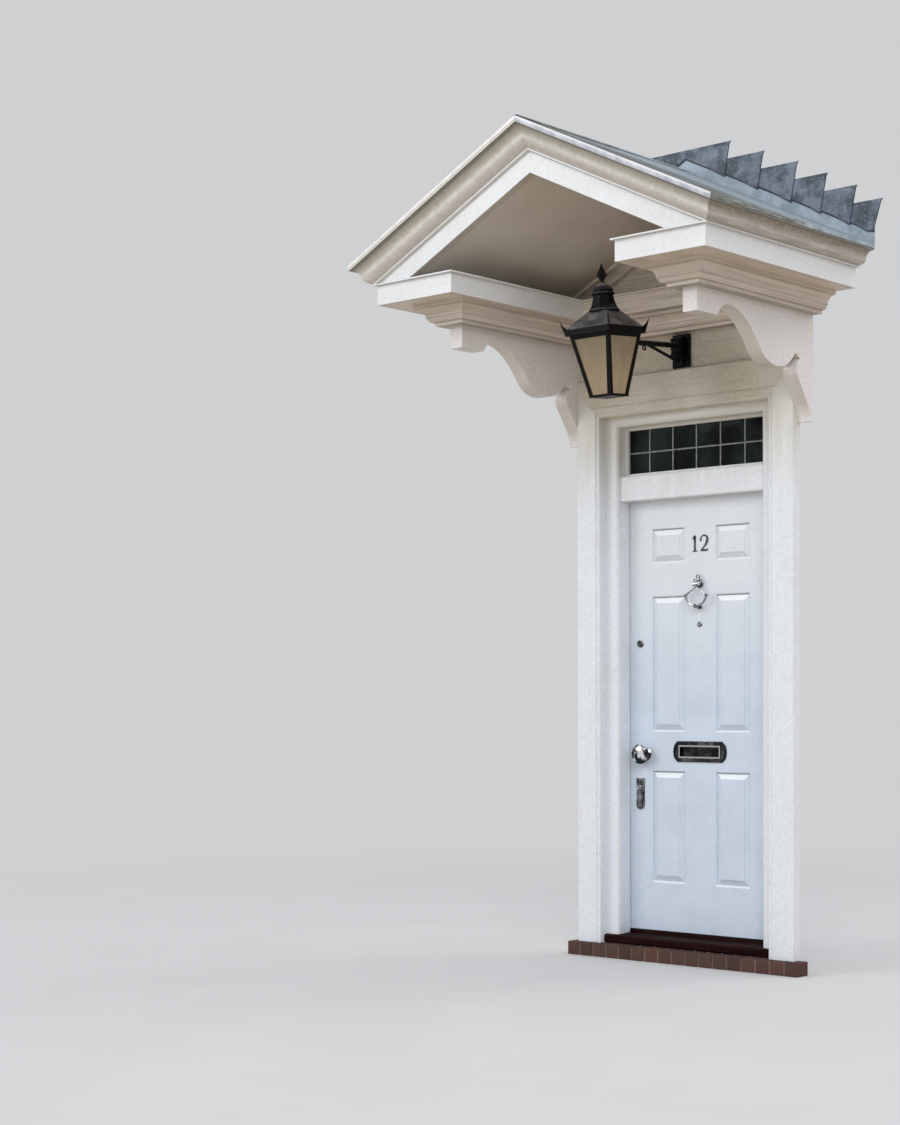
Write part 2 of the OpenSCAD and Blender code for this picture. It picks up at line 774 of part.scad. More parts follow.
// Chimney, ring, dome and spearhead of the lantern, as (radius, height above the body)
function finial_section() = [[0, 88], [70, 90], [70, 97], [64, 101], [56, 117], [49, 138], [44, 158],
  [52, 161], [52, 167], [48, 170], [45, 181], [36, 195], [22, 206], [9, 213], [7, 221], [25, 243],
  [13, 265], [5, 281], [1, 293], [0, 293]];

module lantern_roof() {
  collar = 85;
  color(black_iron) drooped() translate([0, -lamp_y, lamp_z + lamp_h]) {
    difference() {
      taper(rim_w, rim_w, -rim_lap, rim_h - rim_lap);
      taper(lamp_top + 1, lamp_top + 1, -rim_h, 0);
    }
    taper(rim_w - 8, 104, rim_h - rim_lap - eps, collar + 6);
    rotate([0, 0, 22.5]) rotate_extrude($fn = 8) polygon(finial_section());
    // Pointed ears at the rim's corners
    for (a = [45:90:315]) rotate([0, 0, a]) translate([rim_w / sqrt(2), 0, -rim_lap]) along_y(-2, 2)
      polygon([[-18, 4], [-2, 4], [8, 28], [20, 68], [4, 42], [-18, 24]]);
  }
}

panel_rows = [[218, 735], [910, 1533], [1680, 1842]];
margin_flat = 11;
// One side of a panel's sunk margin, along X: the slope runs up to the field
module margin_side(len) {
  along_x(0, len) polygon([[-eps, 0], [panel_sink, 0], [panel_sink, margin_flat],
    [field_sink, panel_bevel], [-eps, panel_bevel]]);
}

// One side of the ovolo that the stiles and rails carry round a panel, along X
module ovolo_side(len) {
  along_x(-eps, len + eps) polygon(concat([[panel_sink + 1, -1], [panel_sink + 1, panel_sink]],
    arc([panel_sink, 0], panel_sink, 90, 180, 15), [[0, -1]]));
}

// Puts a side on each edge of a w by h panel
module four_sides(w, h) {
  for (k = [0, 1]) {
    translate([k * w, 0, k * h]) rotate([0, k * 180, 0]) children(0);
    translate([(1 - k) * w, 0, k * h]) rotate([0, -90 + k * 180, 0]) children(1);
  }
}

module panel_cut(w, h) {
  difference() {
    four_sides(w, h) {
      margin_side(w);
      margin_side(h);
    }
    four_sides(w, h) {
      ovolo_side(w);
      ovolo_side(h);
    }
  }
}

slot_w = aper_w + 24;
slot_h = aper_h + 20;
module door_leaf() {
  color(paint) difference() {
    box([-leaf_half, leaf_front, leaf_foot], [leaf_half, leaf_back, leaf_top]);
    for (m = [0, 1]) mirror([m, 0, 0]) for (r = panel_rows) {
      translate([panel_inner, leaf_front, leaf_foot + r[0]]) panel_cut(panel_outer - panel_inner, r[1] - r[0]);
      translate([panel_inner, leaf_back, leaf_foot + r[0]]) mirror([0, 1, 0])
        panel_cut(panel_outer - panel_inner, r[1] - r[0]);
    }
    box([-slot_w / 2, leaf_front - 1, leaf_foot + plate_z - slot_h / 2],
      [slot_w / 2, leaf_back + 1, leaf_foot + plate_z + slot_h / 2]);
  }
}

module door_knob() {
  neck = 26;
  rose = 66;
  lip = 12;
  color(chrome) translate([-knob_x, leaf_front, leaf_foot + knob_z]) rotate([90, 0, 0])
    rotate_extrude() polygon(concat(
      [[0, 0], [rose / 2, 0], [rose / 2, 3], [rose / 2 - 5, 8], [neck / 2, 10], [neck / 2, 18]],
      arc([knob_dia / 2 - lip, 18 + lip], lip, -90, 40, 10), [[knob_dia / 4, knob_d - 2], [0, knob_d]]));
}

module door_locks() {
  latch = leaf_foot + latch_z;
  foot = leaf_foot + keyplate_z;
  color(chrome) {
    // Night latch: raised rim round the cylinder
    translate([-lock_x, leaf_front, latch]) rotate([90, 0, 0]) rotate_extrude()
      polygon([[0, 0], [18, 0], [17, 6], [13, 8], [11, 5], [0, 5]]);
    // Lower lock: plate with a swinging cover over the keyhole
    along_y(leaf_front - 5, leaf_front) translate([-lock_x, foot]) polygon(concat(
      [[23, 144], [-23, 144]], arc([0, 23], 23, 180, 360, 15)));
    along_y(leaf_front - 9, leaf_front - 5) translate([-lock_x, foot]) polygon(concat(
      arc([0, 76], 18, 0, 180, 15), arc([0, 20], 13, 180, 360, 15)));
    // Latch case on the inside
    box([-lock_x - 55, leaf_back, latch - 46], [-lock_x + 40, leaf_back + 28, latch + 46]);
    translate([-lock_x + 6, leaf_back + 28 - eps, latch]) rotate([-90, 0, 0]) cylinder(d = 34, h = 18);
  }
}

flap_t = 3;
pivot_r = 2;
pivot_play = 0.05;
pivot_y = leaf_front + 6.5;
pivot_z = leaf_foot + plate_z + aper_h / 2 + 2;
lug_x = aper_w / 2 + 8;
// Outline of the letter plate, grown by g: straight long sides and bowed ends
function plate_outline(g) = let (w = plate_w / 2 + g, h = plate_h / 2 + g, bow = 16) [
  [w - bow - 8, h], [-w + bow + 8, h], [-w + 5, h * 0.6], [-w, 0], [-w + 5, -h * 0.6], [-w + bow + 8, -h],
  [w - bow - 8, -h], [w - 5, -h * 0.6], [w, 0], [w - 5, h * 0.6]];

module letter_plate() {
  z = leaf_foot + plate_z;
  rim = 9;
  color(chrome) {
    difference() {
      union() {
        along_y(leaf_front - 5, leaf_front) translate([0, z]) polygon(plate_outline(0));
        along_y(leaf_front - 9, leaf_front - 5 + eps) translate([0, z]) polygon(plate_outline(-3));
      }
      along_y(leaf_front - 20, leaf_front - 5) translate([0, z]) polygon(plate_outline(-rim));
      box([-aper_w / 2, leaf_front - 20, z - aper_h / 2], [aper_w / 2, leaf_front + 1, z + aper_h / 2]);
    }
    // Raised frame round the flap
    difference() {
      box([-aper_w / 2 - 7, leaf_front - 8, z - aper_h / 2 - 7],
        [aper_w / 2 + 7, leaf_front - 4, z + aper_h / 2 + 7]);
      box([-aper_w / 2, leaf_front - 20, z - aper_h / 2], [aper_w / 2, leaf_front + 1, z + aper_h / 2]);
    }
    for (s = [0, 1]) mirror([s, 0, 0]) difference() {
      box([lug_x, leaf_front - 1, pivot_z - 5], [lug_x + 4, pivot_y + 5, pivot_z + 5]);
      translate([lug_x - 1, pivot_y, pivot_z]) rotate([0, 90, 0]) cylinder(r = pivot_r + pivot_play, h = 6);
    }
  }
}

module letter_flap() {
  z = leaf_foot + plate_z;
  color(chrome) {
    box([-aper_w / 2 - 4, pivot_y - flap_t / 2, z - aper_h / 2 - 4],
      [aper_w / 2 + 4, pivot_y + flap_t / 2, pivot_z]);
    translate([-lug_x - 3, pivot_y, pivot_z]) rotate([0, 90, 0]) cylinder(r = pivot_r, h = 2 * lug_x + 6);
  }
}

module door_viewer() {
  color(chrome) translate([0, leaf_front, leaf_foot + viewer_z]) rotate([90, 0, 0]) rotate_extrude()
    polygon([[0, 0], [13, 0], [12, 4], [9, 6], [7, 3], [0, 3]]);
}

ring_y = leaf_front - 30;
pin_r = 4;
hub_r = 9;
cheek_x = 9;
cheek_t = 5;
ring_dia = 10;
// The ring is an onion shape: a round foot, then straight sides that close on the pin
foot_r = (ring_w - ring_dia) / 2;
foot_z = ring_h - ring_dia / 2 - foot_r;
// Angle below the foot's centre at which the straight sides start
side_angle = 12;
side_start = [foot_r * cos(side_angle), -foot_z - foot_r * sin(side_angle)];
// Depth below the pin at which the two sides meet, clear of the cheeks
neck_z = 11;
module knocker_plate() {
  z = leaf_foot + knocker_z;
  boss_d = 19;
  bow_y = leaf_front - 14;
  color(chrome) {
    // Boss with the two cheeks that hold the pin
    translate([0, leaf_front, z + 4]) rotate([90, 0, 0]) rotate_extrude()
      polygon([[0, 0], [20, 0], [18, 8], [12, 12], [12, boss_d], [0, boss_d]]);
    for (s = [0, 1]) mirror([s, 0, 0]) difference() {
      along_x(cheek_x, cheek_x + cheek_t)
        polygon(concat([[leaf_front - 10, z - 8], [leaf_front - 10, z + 12]],
          arc([ring_y, z], 8, 90, 270, 15)));
      translate([cheek_x - 1, ring_y, z]) rotate([0, 90, 0]) cylinder(r = pin_r + pivot_play, h = cheek_t + 2);
    }
    // Knot, two loops and the top loop of the bow above the pin
    translate([0, bow_y, z + 20]) rotate([90, 0, 0]) rotate_extrude()
      polygon([[0, -8], [4, -8], [8, -4], [8, 4], [4, 8], [0, 8]]);
    for (p = [[-14, 15], [14, 15], [0, 34]]) translate([p[0], bow_y, z + p[1]]) rotate([90, 0, 0])
      rotate_extrude() translate([9, 0]) circle(d = 5, $fn = 8);
    // Stud that the ring strikes
    translate([0, leaf_front, z - ring_h + ring_dia / 2]) rotate([90, 0, 0]) rotate_extrude()
      polygon([[0, 0], [13, 0], [12, 6], [8, 9], [8, 16], [5, 18], [0, 18]]);
  }
}

module knocker_ring() {
  z = leaf_foot + knocker_z;
  hub_w = 2 * cheek_x - 2;
  pin_w = 2 * (cheek_x + cheek_t) + 8;
  color(chrome) {
    translate([-pin_w / 2, ring_y, z]) rotate([0, 90, 0]) cylinder(r = pin_r, h = pin_w);
    translate([-hub_w / 2, ring_y, z]) rotate([0, 90, 0]) cylinder(r = hub_r, h = hub_w);
    translate([0, ring_y, z - foot_z]) rotate([90, 0, 0]) rotate([0, 0, 180 + side_angle])
      rotate_extrude(angle = 180 - 2 * side_angle) translate([foot_r, 0]) circle(d = ring_dia, $fn = 8);
    translate([0, ring_y, z - neck_z]) rotate([90, 0, 0])
      cylinder(d = ring_dia + 2, h = ring_dia + 2, center = true);
    // Each side starts inside a bead at the foot's end and ends inside the bead under the hub
    for (s = [0, 1]) mirror([s, 0, 0]) translate([side_start[0], ring_y, z + side_start[1]]) {
      rotate([90, 0, 0]) cylinder(d = ring_dia + 4, h = ring_dia + 2, center = true);
      rotate([0, -atan2(side_start[0], -side_start[1] - neck_z), 0])
        cylinder(d1 = ring_dia - 1, d2 = 6, h = norm(side_start + [0, neck_z]));
    }
    // Striker
    translate([0, ring_y, z - foot_z - foot_r]) rotate([90, 0, 0]) cylinder(d = 20, h = 14, center = true);
  }
}

hinge_x = leaf_half + leaf_gap / 2;
hinge_r = 6;
hinge_y = leaf_back + hinge_r + 1;
hinge_h = 100;
hinge_plate = 1.8;
hinge_d = 30;
hinge_play = 1;
hinge_levels = [180, 940, 1700];
// Door's part of each butt hinge: plate on the leaf's edge and the middle knuckle
module door_hinges() {
  third = hinge_h / 3;
  color(chrome) for (z = hinge_levels) translate([0, 0, leaf_foot + z]) {
    translate([hinge_x, hinge_y, third]) cylinder(r = hinge_r, h = third);
    box([leaf_half, leaf_back - hinge_d, 0], [leaf_half + hinge_plate, leaf_back, hinge_h]);
    box([leaf_half, leaf_back - eps, third], [leaf_half + hinge_plate, hinge_y, 2 * third]);
  }
}

// Frame's part of each butt hinge: plate in the rebate and the outer knuckles
module frame_hinges() {
  third = hinge_h / 3;
  color(chrome) for (z = hinge_levels) translate([0, 0, leaf_foot + z]) {
    for (k = [0, 2 * third + hinge_play]) translate([0, 0, k]) {
      translate([hinge_x, hinge_y, 0]) cylinder(r = hinge_r, h = third - hinge_play);
      box([rebate_x - hinge_plate, leaf_back - eps, 0], [rebate_x, hinge_y, third - hinge_play]);
    }
    box([rebate_x - hinge_plate, leaf_back - hinge_d, 0], [rebate_x, leaf_back, hinge_h]);
  }
}

brick_step();
door_sill();
left_jamb();
right_jamb();
frame_head();
transom_rail();
fanlight_glass();
fanlight_beads();
left_pilaster();
right_pilaster();
header_board();
frieze_board();
wall_bed_mould();
wall_corona();
left_bracket();
right_bracket();
left_bed_mould();
right_bed_mould();
left_cornice();
right_cornice();
left_rake_corona();
right_rake_corona();
left_rake_crown();
right_rake_crown();
left_eaves_crown();
right_eaves_crown();
left_ceiling();
right_ceiling();
rear_tympanum();
rear_rake_mould();
left_rafters();
right_rafters();
left_roof_boards();
right_roof_boards();
left_lead();
right_lead();
left_flashing();
right_flashing();
lantern_arm();
lantern_frame();
lantern_panes();
lantern_roof();
door_leaf();
door_knob();
door_locks();
letter_plate();
letter_flap();
door_viewer();
knocker_plate();
knocker_ring();
door_hinges();
frame_hinges();
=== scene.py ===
"""Looks of the entrance porch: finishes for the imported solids, and the pieces too fine for them."""

import json
import math
import random

import bmesh
import bpy
from mathutils import Matrix, Vector, noise


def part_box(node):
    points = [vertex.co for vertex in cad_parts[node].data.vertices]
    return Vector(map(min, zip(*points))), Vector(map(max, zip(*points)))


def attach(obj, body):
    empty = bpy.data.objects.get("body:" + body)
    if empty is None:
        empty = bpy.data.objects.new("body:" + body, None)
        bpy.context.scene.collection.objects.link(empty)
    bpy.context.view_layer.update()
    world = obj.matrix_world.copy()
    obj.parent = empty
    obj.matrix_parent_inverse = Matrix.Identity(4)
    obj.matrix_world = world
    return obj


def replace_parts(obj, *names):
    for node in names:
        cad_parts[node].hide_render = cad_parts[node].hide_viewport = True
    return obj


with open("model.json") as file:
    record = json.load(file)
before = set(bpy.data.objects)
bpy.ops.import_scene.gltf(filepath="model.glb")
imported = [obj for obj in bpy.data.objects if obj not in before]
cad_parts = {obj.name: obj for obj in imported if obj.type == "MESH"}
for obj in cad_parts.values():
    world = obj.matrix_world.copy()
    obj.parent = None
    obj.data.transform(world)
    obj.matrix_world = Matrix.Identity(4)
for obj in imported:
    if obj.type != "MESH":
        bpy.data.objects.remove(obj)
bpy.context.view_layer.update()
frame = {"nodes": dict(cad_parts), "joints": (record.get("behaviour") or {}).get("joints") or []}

MM = 0.001
NODES = frame["nodes"]

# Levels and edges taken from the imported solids, with the few sizes that their boxes don't give
STEP_LO, STEP_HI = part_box("brick_step")
GLASS_LO, GLASS_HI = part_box("fanlight_glass")
LEAF_LO, LEAF_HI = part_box("door_leaf")
CORNICE_LO, CORNICE_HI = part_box("right_cornice")
FILLET = 14 * MM
CORNICE_X = CORNICE_HI.x - FILLET
CORNICE_FRONT = CORNICE_LO.y + FILLET
CORNICE_TOP = CORNICE_HI.z
EAVE_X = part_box("right_eaves_crown")[1].x
CROWN_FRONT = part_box("right_rake_crown")[0].y
RIDGE_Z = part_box("right_roof_boards")[1].z
PITCH = math.radians(25.3)
SLOPE = math.tan(PITCH)
EAVE_Z = RIDGE_Z - EAVE_X * SLOPE
LEAD = 3 * MM
LEAD_TOP = RIDGE_Z + LEAD / math.cos(PITCH)

# Crown moulding, as heights over the cornice: its curve, and the flat fillet above it
CURVE_LO, CURVE_HI = 2 * MM, 56 * MM
FILLET_HI = 76 * MM

# One brick and its joint
COURSE = 75 * MM

# Stepped flashing: one step a brick course, and where each step ends, counted in steps from the eaves
FLASH_RISE = COURSE
FLASH_STEP = FLASH_RISE / SLOPE
FLASH_ENDS = (0, 0.79, 1.72, 2.67, 3.79, 4.93)
FLASH_TOP = EAVE_Z + 189 * MM
FLASH_END = EAVE_X + 44 * MM
FLASH_FOOT = RIDGE_Z + 60 * MM
FLASH_LEAN = 15 * MM

# Brick-on-edge step
BRICK_JOINT = 10 * MM
BRICK_COUNT = round((STEP_HI.x - STEP_LO.x) / COURSE)
BRICK_PITCH = (STEP_HI.x - STEP_LO.x + BRICK_JOINT) / BRICK_COUNT


# Node materials

class Graph:
    """Short calls that build one node material round its Principled shader."""

    def __init__(self, name):
        self.mat = bpy.data.materials.new(name)
        self.mat.use_nodes = True
        self.tree = self.mat.node_tree
        self.bsdf = self.tree.nodes["Principled BSDF"]
        self.place = self.node("ShaderNodeTexCoord").outputs["Object"]

    def node(self, kind, **props):
        made = self.tree.nodes.new(kind)
        for key, value in props.items():
            setattr(made, key, value)
        return made

    def link(self, out, socket):
        self.tree.links.new(out, socket)

    def feed(self, socket, value):
        """A socket takes another node's output or a plain number."""
        if isinstance(value, bpy.types.NodeSocket):
            self.link(value, socket)
        else:
            socket.default_value = value

    def set(self, **values):
        for key, value in values.items():
            self.feed(self.bsdf.inputs[key.replace("_", " ")], value)

    def math(self, op, a, b=0.0, c=0.0, clamp=False):
        made = self.node("ShaderNodeMath", operation=op, use_clamp=clamp)
        for socket, value in zip(made.inputs, (a, b, c)):
            self.feed(socket, value)
        return made.outputs[0]

    def split(self, vector):
        made = self.node("ShaderNodeSeparateXYZ")
        self.link(vector, made.inputs[0])
        return made.outputs[0:3]

    def stretched(self, scale):
        made = self.node("ShaderNodeMapping")
        self.link(self.place, made.inputs["Vector"])
        made.inputs["Scale"].default_value = scale
        return made.outputs[0]

    def noise(self, scale, detail=4.0, rough=0.55, stretch=None):
        made = self.node("ShaderNodeTexNoise")
        self.link(self.stretched(stretch) if stretch else self.place, made.inputs["Vector"])
        made.inputs["Scale"].default_value = scale
        made.inputs["Detail"].default_value = detail
        made.inputs["Roughness"].default_value = rough
        return made.outputs[0]

    def remap(self, value, lo, hi, out_lo=0.0, out_hi=1.0):
        made = self.node("ShaderNodeMapRange", interpolation_type="SMOOTHSTEP")
        for key, number in (("From Min", lo), ("From Max", hi), ("To Min", out_lo), ("To Max", out_hi)):
            made.inputs[key].default_value = number
        self.feed(made.inputs["Value"], value)
        return made.outputs[0]

    def mix(self, factor, a, b):
        made = self.node("ShaderNodeMix", data_type="RGBA")
        for socket, value in zip((made.inputs[0], made.inputs[6], made.inputs[7]), (factor, a, b)):
            if isinstance(value, tuple):
                value = (*value, 1.0)
            self.feed(socket, value)
        return made.outputs[2]

    def ramp(self, value, stops):
        """Colour by value, from (place, colour) stops that start at 0 and end at 1."""
        made = self.node("ShaderNodeValToRGB")
        self.feed(made.inputs[0], value)
        elements = made.color_ramp.elements
        elements[0].color = (*stops[0][1], 1.0)
        elements[1].color = (*stops[-1][1], 1.0)
        for place, colour in stops[1:-1]:
            elements.new(place).color = (*colour, 1.0)
        return made.outputs[0]

    def bump(self, height, strength, distance, under=None):
        made = self.node("ShaderNodeBump")
        made.inputs["Strength"].default_value = strength
        made.inputs["Distance"].default_value = distance
        self.link(height, made.inputs["Height"])
        if under:
            self.link(under, made.inputs["Normal"])
        self.link(made.outputs[0], self.bsdf.inputs["Normal"])
        return made.outputs[0]

    def ragged(self, value, cloud, amount, clamp=False):
        """The value, pushed up and down by a noise."""
        return self.math("MULTIPLY_ADD", self.math("SUBTRACT", cloud, 0.5), amount, value, clamp)

    def absolute(self, value):
        return self.math("ABSOLUTE", value)

    def normal(self):
        """Which way a face points, in the object's own axes."""
        return self.split(self.node("ShaderNodeTexCoord").outputs["Normal"])

    def colour(self):
        """The colour so far, to mix another one over it."""
        return self.bsdf.inputs["Base Color"].links[0].from_socket


def brushed(name, grain_axis, roughness=0.28):
    """Paint's surface: faint brush marks along the grain, and dulled patches, which it gives back too."""
    g = Graph(name)
    fine, coarse = 260.0, 22.0
    stretch = tuple(coarse if axis == grain_axis else fine for axis in "xyz")
    brush = g.noise(1.0, 3.0, 0.5, stretch)
    patches = g.noise(3.2, 5.0, 0.6)
    g.set(Roughness=g.remap(patches, 0.3, 0.7, roughness, roughness + 0.14))
    g.bump(brush, 0.12, 0.4 * MM, g.bump(patches, 0.10, 4 * MM))
    return g, patches


def gloss_paint(name, clean, dull, grain_axis, roughness=0.28, grime=0.35):
    """White gloss on timber, a little soiled and finely mottled."""
    g, patches = brushed(name, grain_axis, roughness)
    speck = g.noise(34.0, 3.0, 0.7)
    soiled = g.math("MULTIPLY", g.remap(patches, 0.42, 0.72), g.remap(speck, 0.35, 0.75, 0.35, 1.0))
    colour = g.mix(g.math("MULTIPLY", soiled, grime), clean, dull)
    mottle = g.remap(g.noise(75.0, 5.0, 0.75), 0.42, 0.66, 0.0, 0.4)
    g.set(Base_Color=g.mix(mottle, colour, dull), Coat_Weight=0.25, Coat_Roughness=0.2)
    return g


def door_paint():
    """The door's gloss: whiter under the canopy, cooler and darker towards the foot as painted shade, and
    painted light and shade on its bevels.
    """
    g = gloss_paint("door_paint", (0.74, 0.78, 0.82), (0.60, 0.66, 0.73), "z", 0.22, 0.4)
    cool_to, white_from = 1.1, 1.9
    # Painted shade: below the white level the door turns darker and bluer.
    low = g.mix(g.remap(g.noise(5.0, 5.0, 0.65), 0.35, 0.7), (0.61, 0.69, 0.80), (0.55, 0.63, 0.73))
    face = g.mix(g.remap(g.split(g.place)[2], cool_to, white_from), low, g.colour())
    # Painted light and shade by facing: bevels that look up are lit, those that look down shaded, and the
    # steepest take a painted shadow line.
    lit, shaded, line = (0.88, 0.90, 0.92), (0.30, 0.32, 0.37), (0.14, 0.15, 0.17)
    slant = g.normal()[2]
    face = g.mix(g.remap(slant, 0.08, 0.35, 0.0, 0.65), face, lit)
    face = g.mix(g.remap(slant, -0.08, -0.35, 0.0, 0.3), face, shaded)
    g.set(Base_Color=g.mix(g.remap(slant, -0.45, -0.8, 0.0, 0.8), face, line))
    return g


def frame_paint(name, low_tone, shaded_tone):
    """White gloss on the frame and surround, greyer and warmer towards the canopy as painted shade."""
    g = gloss_paint(name, low_tone, (0.58, 0.58, 0.55), "z")
    unshaded_to, shaded_from = 2.0, 2.5
    level = g.ragged(g.split(g.place)[2], g.noise(1.0, 4.0, 0.6, (30.0, 30.0, 3.0)), 0.5)
    # Painted shade of the canopy: above a streaky level the paint turns greyer and warmer.
    g.set(Base_Color=g.mix(g.remap(level, unshaded_to, shaded_from), g.colour(), shaded_tone))
    return g


def shaded_paint(name, clean, dull, soffit, grain_axis, roughness=0.32):
    """The same paint on the canopy, with painted shade: faces that look down take the soffit tone, in
    patches.
    """
    g = gloss_paint(name, clean, dull, grain_axis, roughness)
    # Painted shade: the soffit tone on faces that look down.
    down = g.remap(g.normal()[2], 0.05, -0.75)
    dust_and_painted_light = g.math("MULTIPLY", down, g.remap(g.noise(7.0, 4.0), 0.25, 0.7, 0.65, 1.0))
    g.set(Base_Color=g.mix(dust_and_painted_light, g.colour(), soffit))
    return g


def canopy_paint(name, raking):
    """Cornice or rake: white faces, and soffits in brown painted shade."""
    g = shaded_paint(name, (0.73, 0.75, 0.77), (0.58, 0.57, 0.54), (0.55, 0.54, 0.51), "y")
    _, y, z = g.split(g.place)
    boards = g.remap(g.noise(1.0, 4.0, 0.6, (12.0, 3.0, 1.0)), 0.3, 0.7)
    if raking:
        behind_drip = g.remap(y, CORNICE_FRONT, CORNICE_FRONT + 2 * MM)
        brown = g.mix(boards, (0.38, 0.34, 0.29), (0.44, 0.39, 0.33))
    else:
        behind_drip = g.remap(z, CORNICE_LO.z + 9 * MM, CORNICE_LO.z + 6 * MM)
        brown = g.mix(boards, (0.49, 0.40, 0.315), (0.60, 0.50, 0.40))
    # Painted shade: soffits behind the drip turn brown.
    soffit = g.math("MULTIPLY", behind_drip, g.remap(g.normal()[2], -0.4, -0.8))
    g.set(Base_Color=g.mix(soffit, g.colour(), brown))
    return g


def moulding_paint(name, clean, dull, soffit, grain_axis):
    """Mouldings under the canopy: brown as painted shade, streaked, and darkest on the flat undersides of
    their steps, as painted shadow.
    """
    g = shaded_paint(name, clean, dull, soffit, grain_axis, 0.42)
    streak = g.noise(1.0, 4.0, 0.6, (3.0, 3.0, 110.0))
    streaked = g.mix(g.remap(streak, 0.42, 0.7, 0.0, 0.45), g.colour(), (0.32, 0.27, 0.21))
    # Painted shadow on the flat undersides of the steps.
    flat = g.remap(g.normal()[2], -0.93, -0.99, 0.0, 0.5)
    g.set(Base_Color=g.mix(flat, streaked, (0.16, 0.13, 0.10)))
    return g


def canopy_shade_paint():
    """The boards on the wall under the canopy: darker and warmer than white, partly as painted shade of the
    canopy and partly as stain, and streaked along their length.
    """
    g = gloss_paint("canopy_shade_paint", (0.63, 0.59, 0.50), (0.44, 0.40, 0.31), "x", 0.34, 0.8)
    streak = g.noise(1.0, 4.0, 0.6, (5.0, 5.0, 80.0))
    g.set(Base_Color=g.mix(g.remap(streak, 0.45, 0.7, 0.0, 0.4), g.colour(), (0.38, 0.35, 0.28)))
    return g


def bluish_edge(g):
    """Colour of the edges to the right of the ridge: painted shade, blue with the sky's light, blotched with
    stains from the lead.
    """
    blotch = g.remap(g.noise(1.0, 4.0, 0.6, (26.0, 26.0, 5.0)), 0.35, 0.65)
    return g.mix(blotch, (0.44, 0.46, 0.53), (0.62, 0.63, 0.68))


def crown_paint(name, raking):
    """Crown moulding: painted light and shade on its curve, pale along the middle and darker at both edges,
    with algae towards its top, and a flat fillet on top.
    """
    g, _ = brushed(name, "x")
    x, y, z = g.split(g.place)
    level = g.math("SUBTRACT", z, CORNICE_TOP)
    if raking:
        inward = g.math("SUBTRACT", CORNICE_X, g.absolute(x))
        forward = g.math("SUBTRACT", CORNICE_FRONT, y)
        level = g.math("SUBTRACT", level, g.math("MULTIPLY", g.math("ADD", inward, forward), SLOPE))
    share = g.math("DIVIDE", g.math("SUBTRACT", level, CURVE_LO), CURVE_HI - CURVE_LO)
    cloud = g.noise(11.0, 5.0, 0.62)
    speck = g.remap(g.noise(60.0, 4.0, 0.7), 0.3, 0.65, 0.4, 1.0)
    # Painted light and shade across the curve: a broad pale band along the middle, darker towards the foot
    # and darkest at the top, which looks down.
    curve = g.ramp(g.ragged(share, cloud, 0.22), [
        (0.0, (0.56, 0.53, 0.50)), (0.2, (0.60, 0.57, 0.54)), (0.38, (0.67, 0.64, 0.60)),
        (0.6, (0.68, 0.65, 0.60)), (0.8, (0.60, 0.575, 0.51)), (1.0, (0.42, 0.41, 0.35))])
    if raking:
        algae = g.math("MULTIPLY", g.remap(share, 0.4, 1.0, 0.0, 0.5), speck)
        curve = g.mix(algae, curve, (0.25, 0.235, 0.19))
        mottle = g.noise(1.0, 6.0, 0.75, (34.0, 34.0, 34.0))
        curve = g.mix(g.remap(mottle, 0.36, 0.62, 0.0, 0.3), curve, (0.34, 0.33, 0.29))
        # Right of the ridge the fillet takes the bluish painted shade under a bright lip.
        lip = g.remap(level, FILLET_HI - 7 * MM, FILLET_HI - 4 * MM)
        right = g.mix(lip, bluish_edge(g), (0.80, 0.78, 0.80))
        fillet = g.mix(g.remap(x, -2 * MM, 2 * MM), (0.76, 0.73, 0.68), right)
    else:
        algae = g.math("MULTIPLY", g.remap(share, 0.4, 1.0, 0.25, 0.9), speck)
        curve = g.mix(algae, curve, (0.17, 0.135, 0.10))
        mottle = g.noise(1.0, 6.0, 0.75, (34.0, 5.0, 70.0))
        curve = g.mix(g.remap(mottle, 0.36, 0.62, 0.0, 0.55), curve, (0.26, 0.24, 0.20))
        # The eaves' fillet: dark as painted shade with algae, crossed by thin paler threads.
        wave = g.math("SINE", g.math("MULTIPLY", level, 2 * math.pi / (8 * MM)))
        thread = g.math("MULTIPLY", g.remap(wave, 0.55, 0.95), g.remap(cloud, 0.3, 0.6, 0.2, 0.8))
        fillet = g.mix(thread, (0.145, 0.145, 0.125), (0.46, 0.45, 0.40))
    # A painted shadow line at the top of the curve, under the fillet.
    corner = g.remap(share, 0.95, 0.99, 0.0, 0.6)
    curve = g.mix(corner, curve, (0.12, 0.12, 0.11))
    above_curve = g.remap(level, CURVE_HI, CURVE_HI + 1 * MM)
    g.set(Base_Color=g.mix(above_curve, curve, fillet), Specular_IOR_Level=0.2)
    return g


def lead(name, pale, dark, patina, roughness=0.5):
    """Milled sheet lead: cloudy grey, white patina runs and faint dressing dents."""
    g = Graph(name)
    cloud = g.noise(9.0, 6.0, 0.62)
    runs = g.noise(1.0, 4.0, 0.6, (5.0, 60.0, 9.0))
    dents = g.noise(38.0, 2.0, 0.45)
    frost = g.noise(75.0, 5.0, 0.75)
    base = g.mix(g.remap(cloud, 0.38, 0.62), dark, pale)
    white = g.math("MAXIMUM", g.remap(runs, 0.52, 0.78, 0.0, 0.7), g.remap(frost, 0.56, 0.68, 0.0, 0.55))
    g.set(Base_Color=g.mix(white, base, patina), Metallic=0.25)
    g.set(Roughness=g.remap(cloud, 0.25, 0.75, roughness - 0.08, roughness + 0.16))
    g.bump(dents, 0.35, 1.2 * MM, g.bump(cloud, 0.3, 3 * MM))
    return g


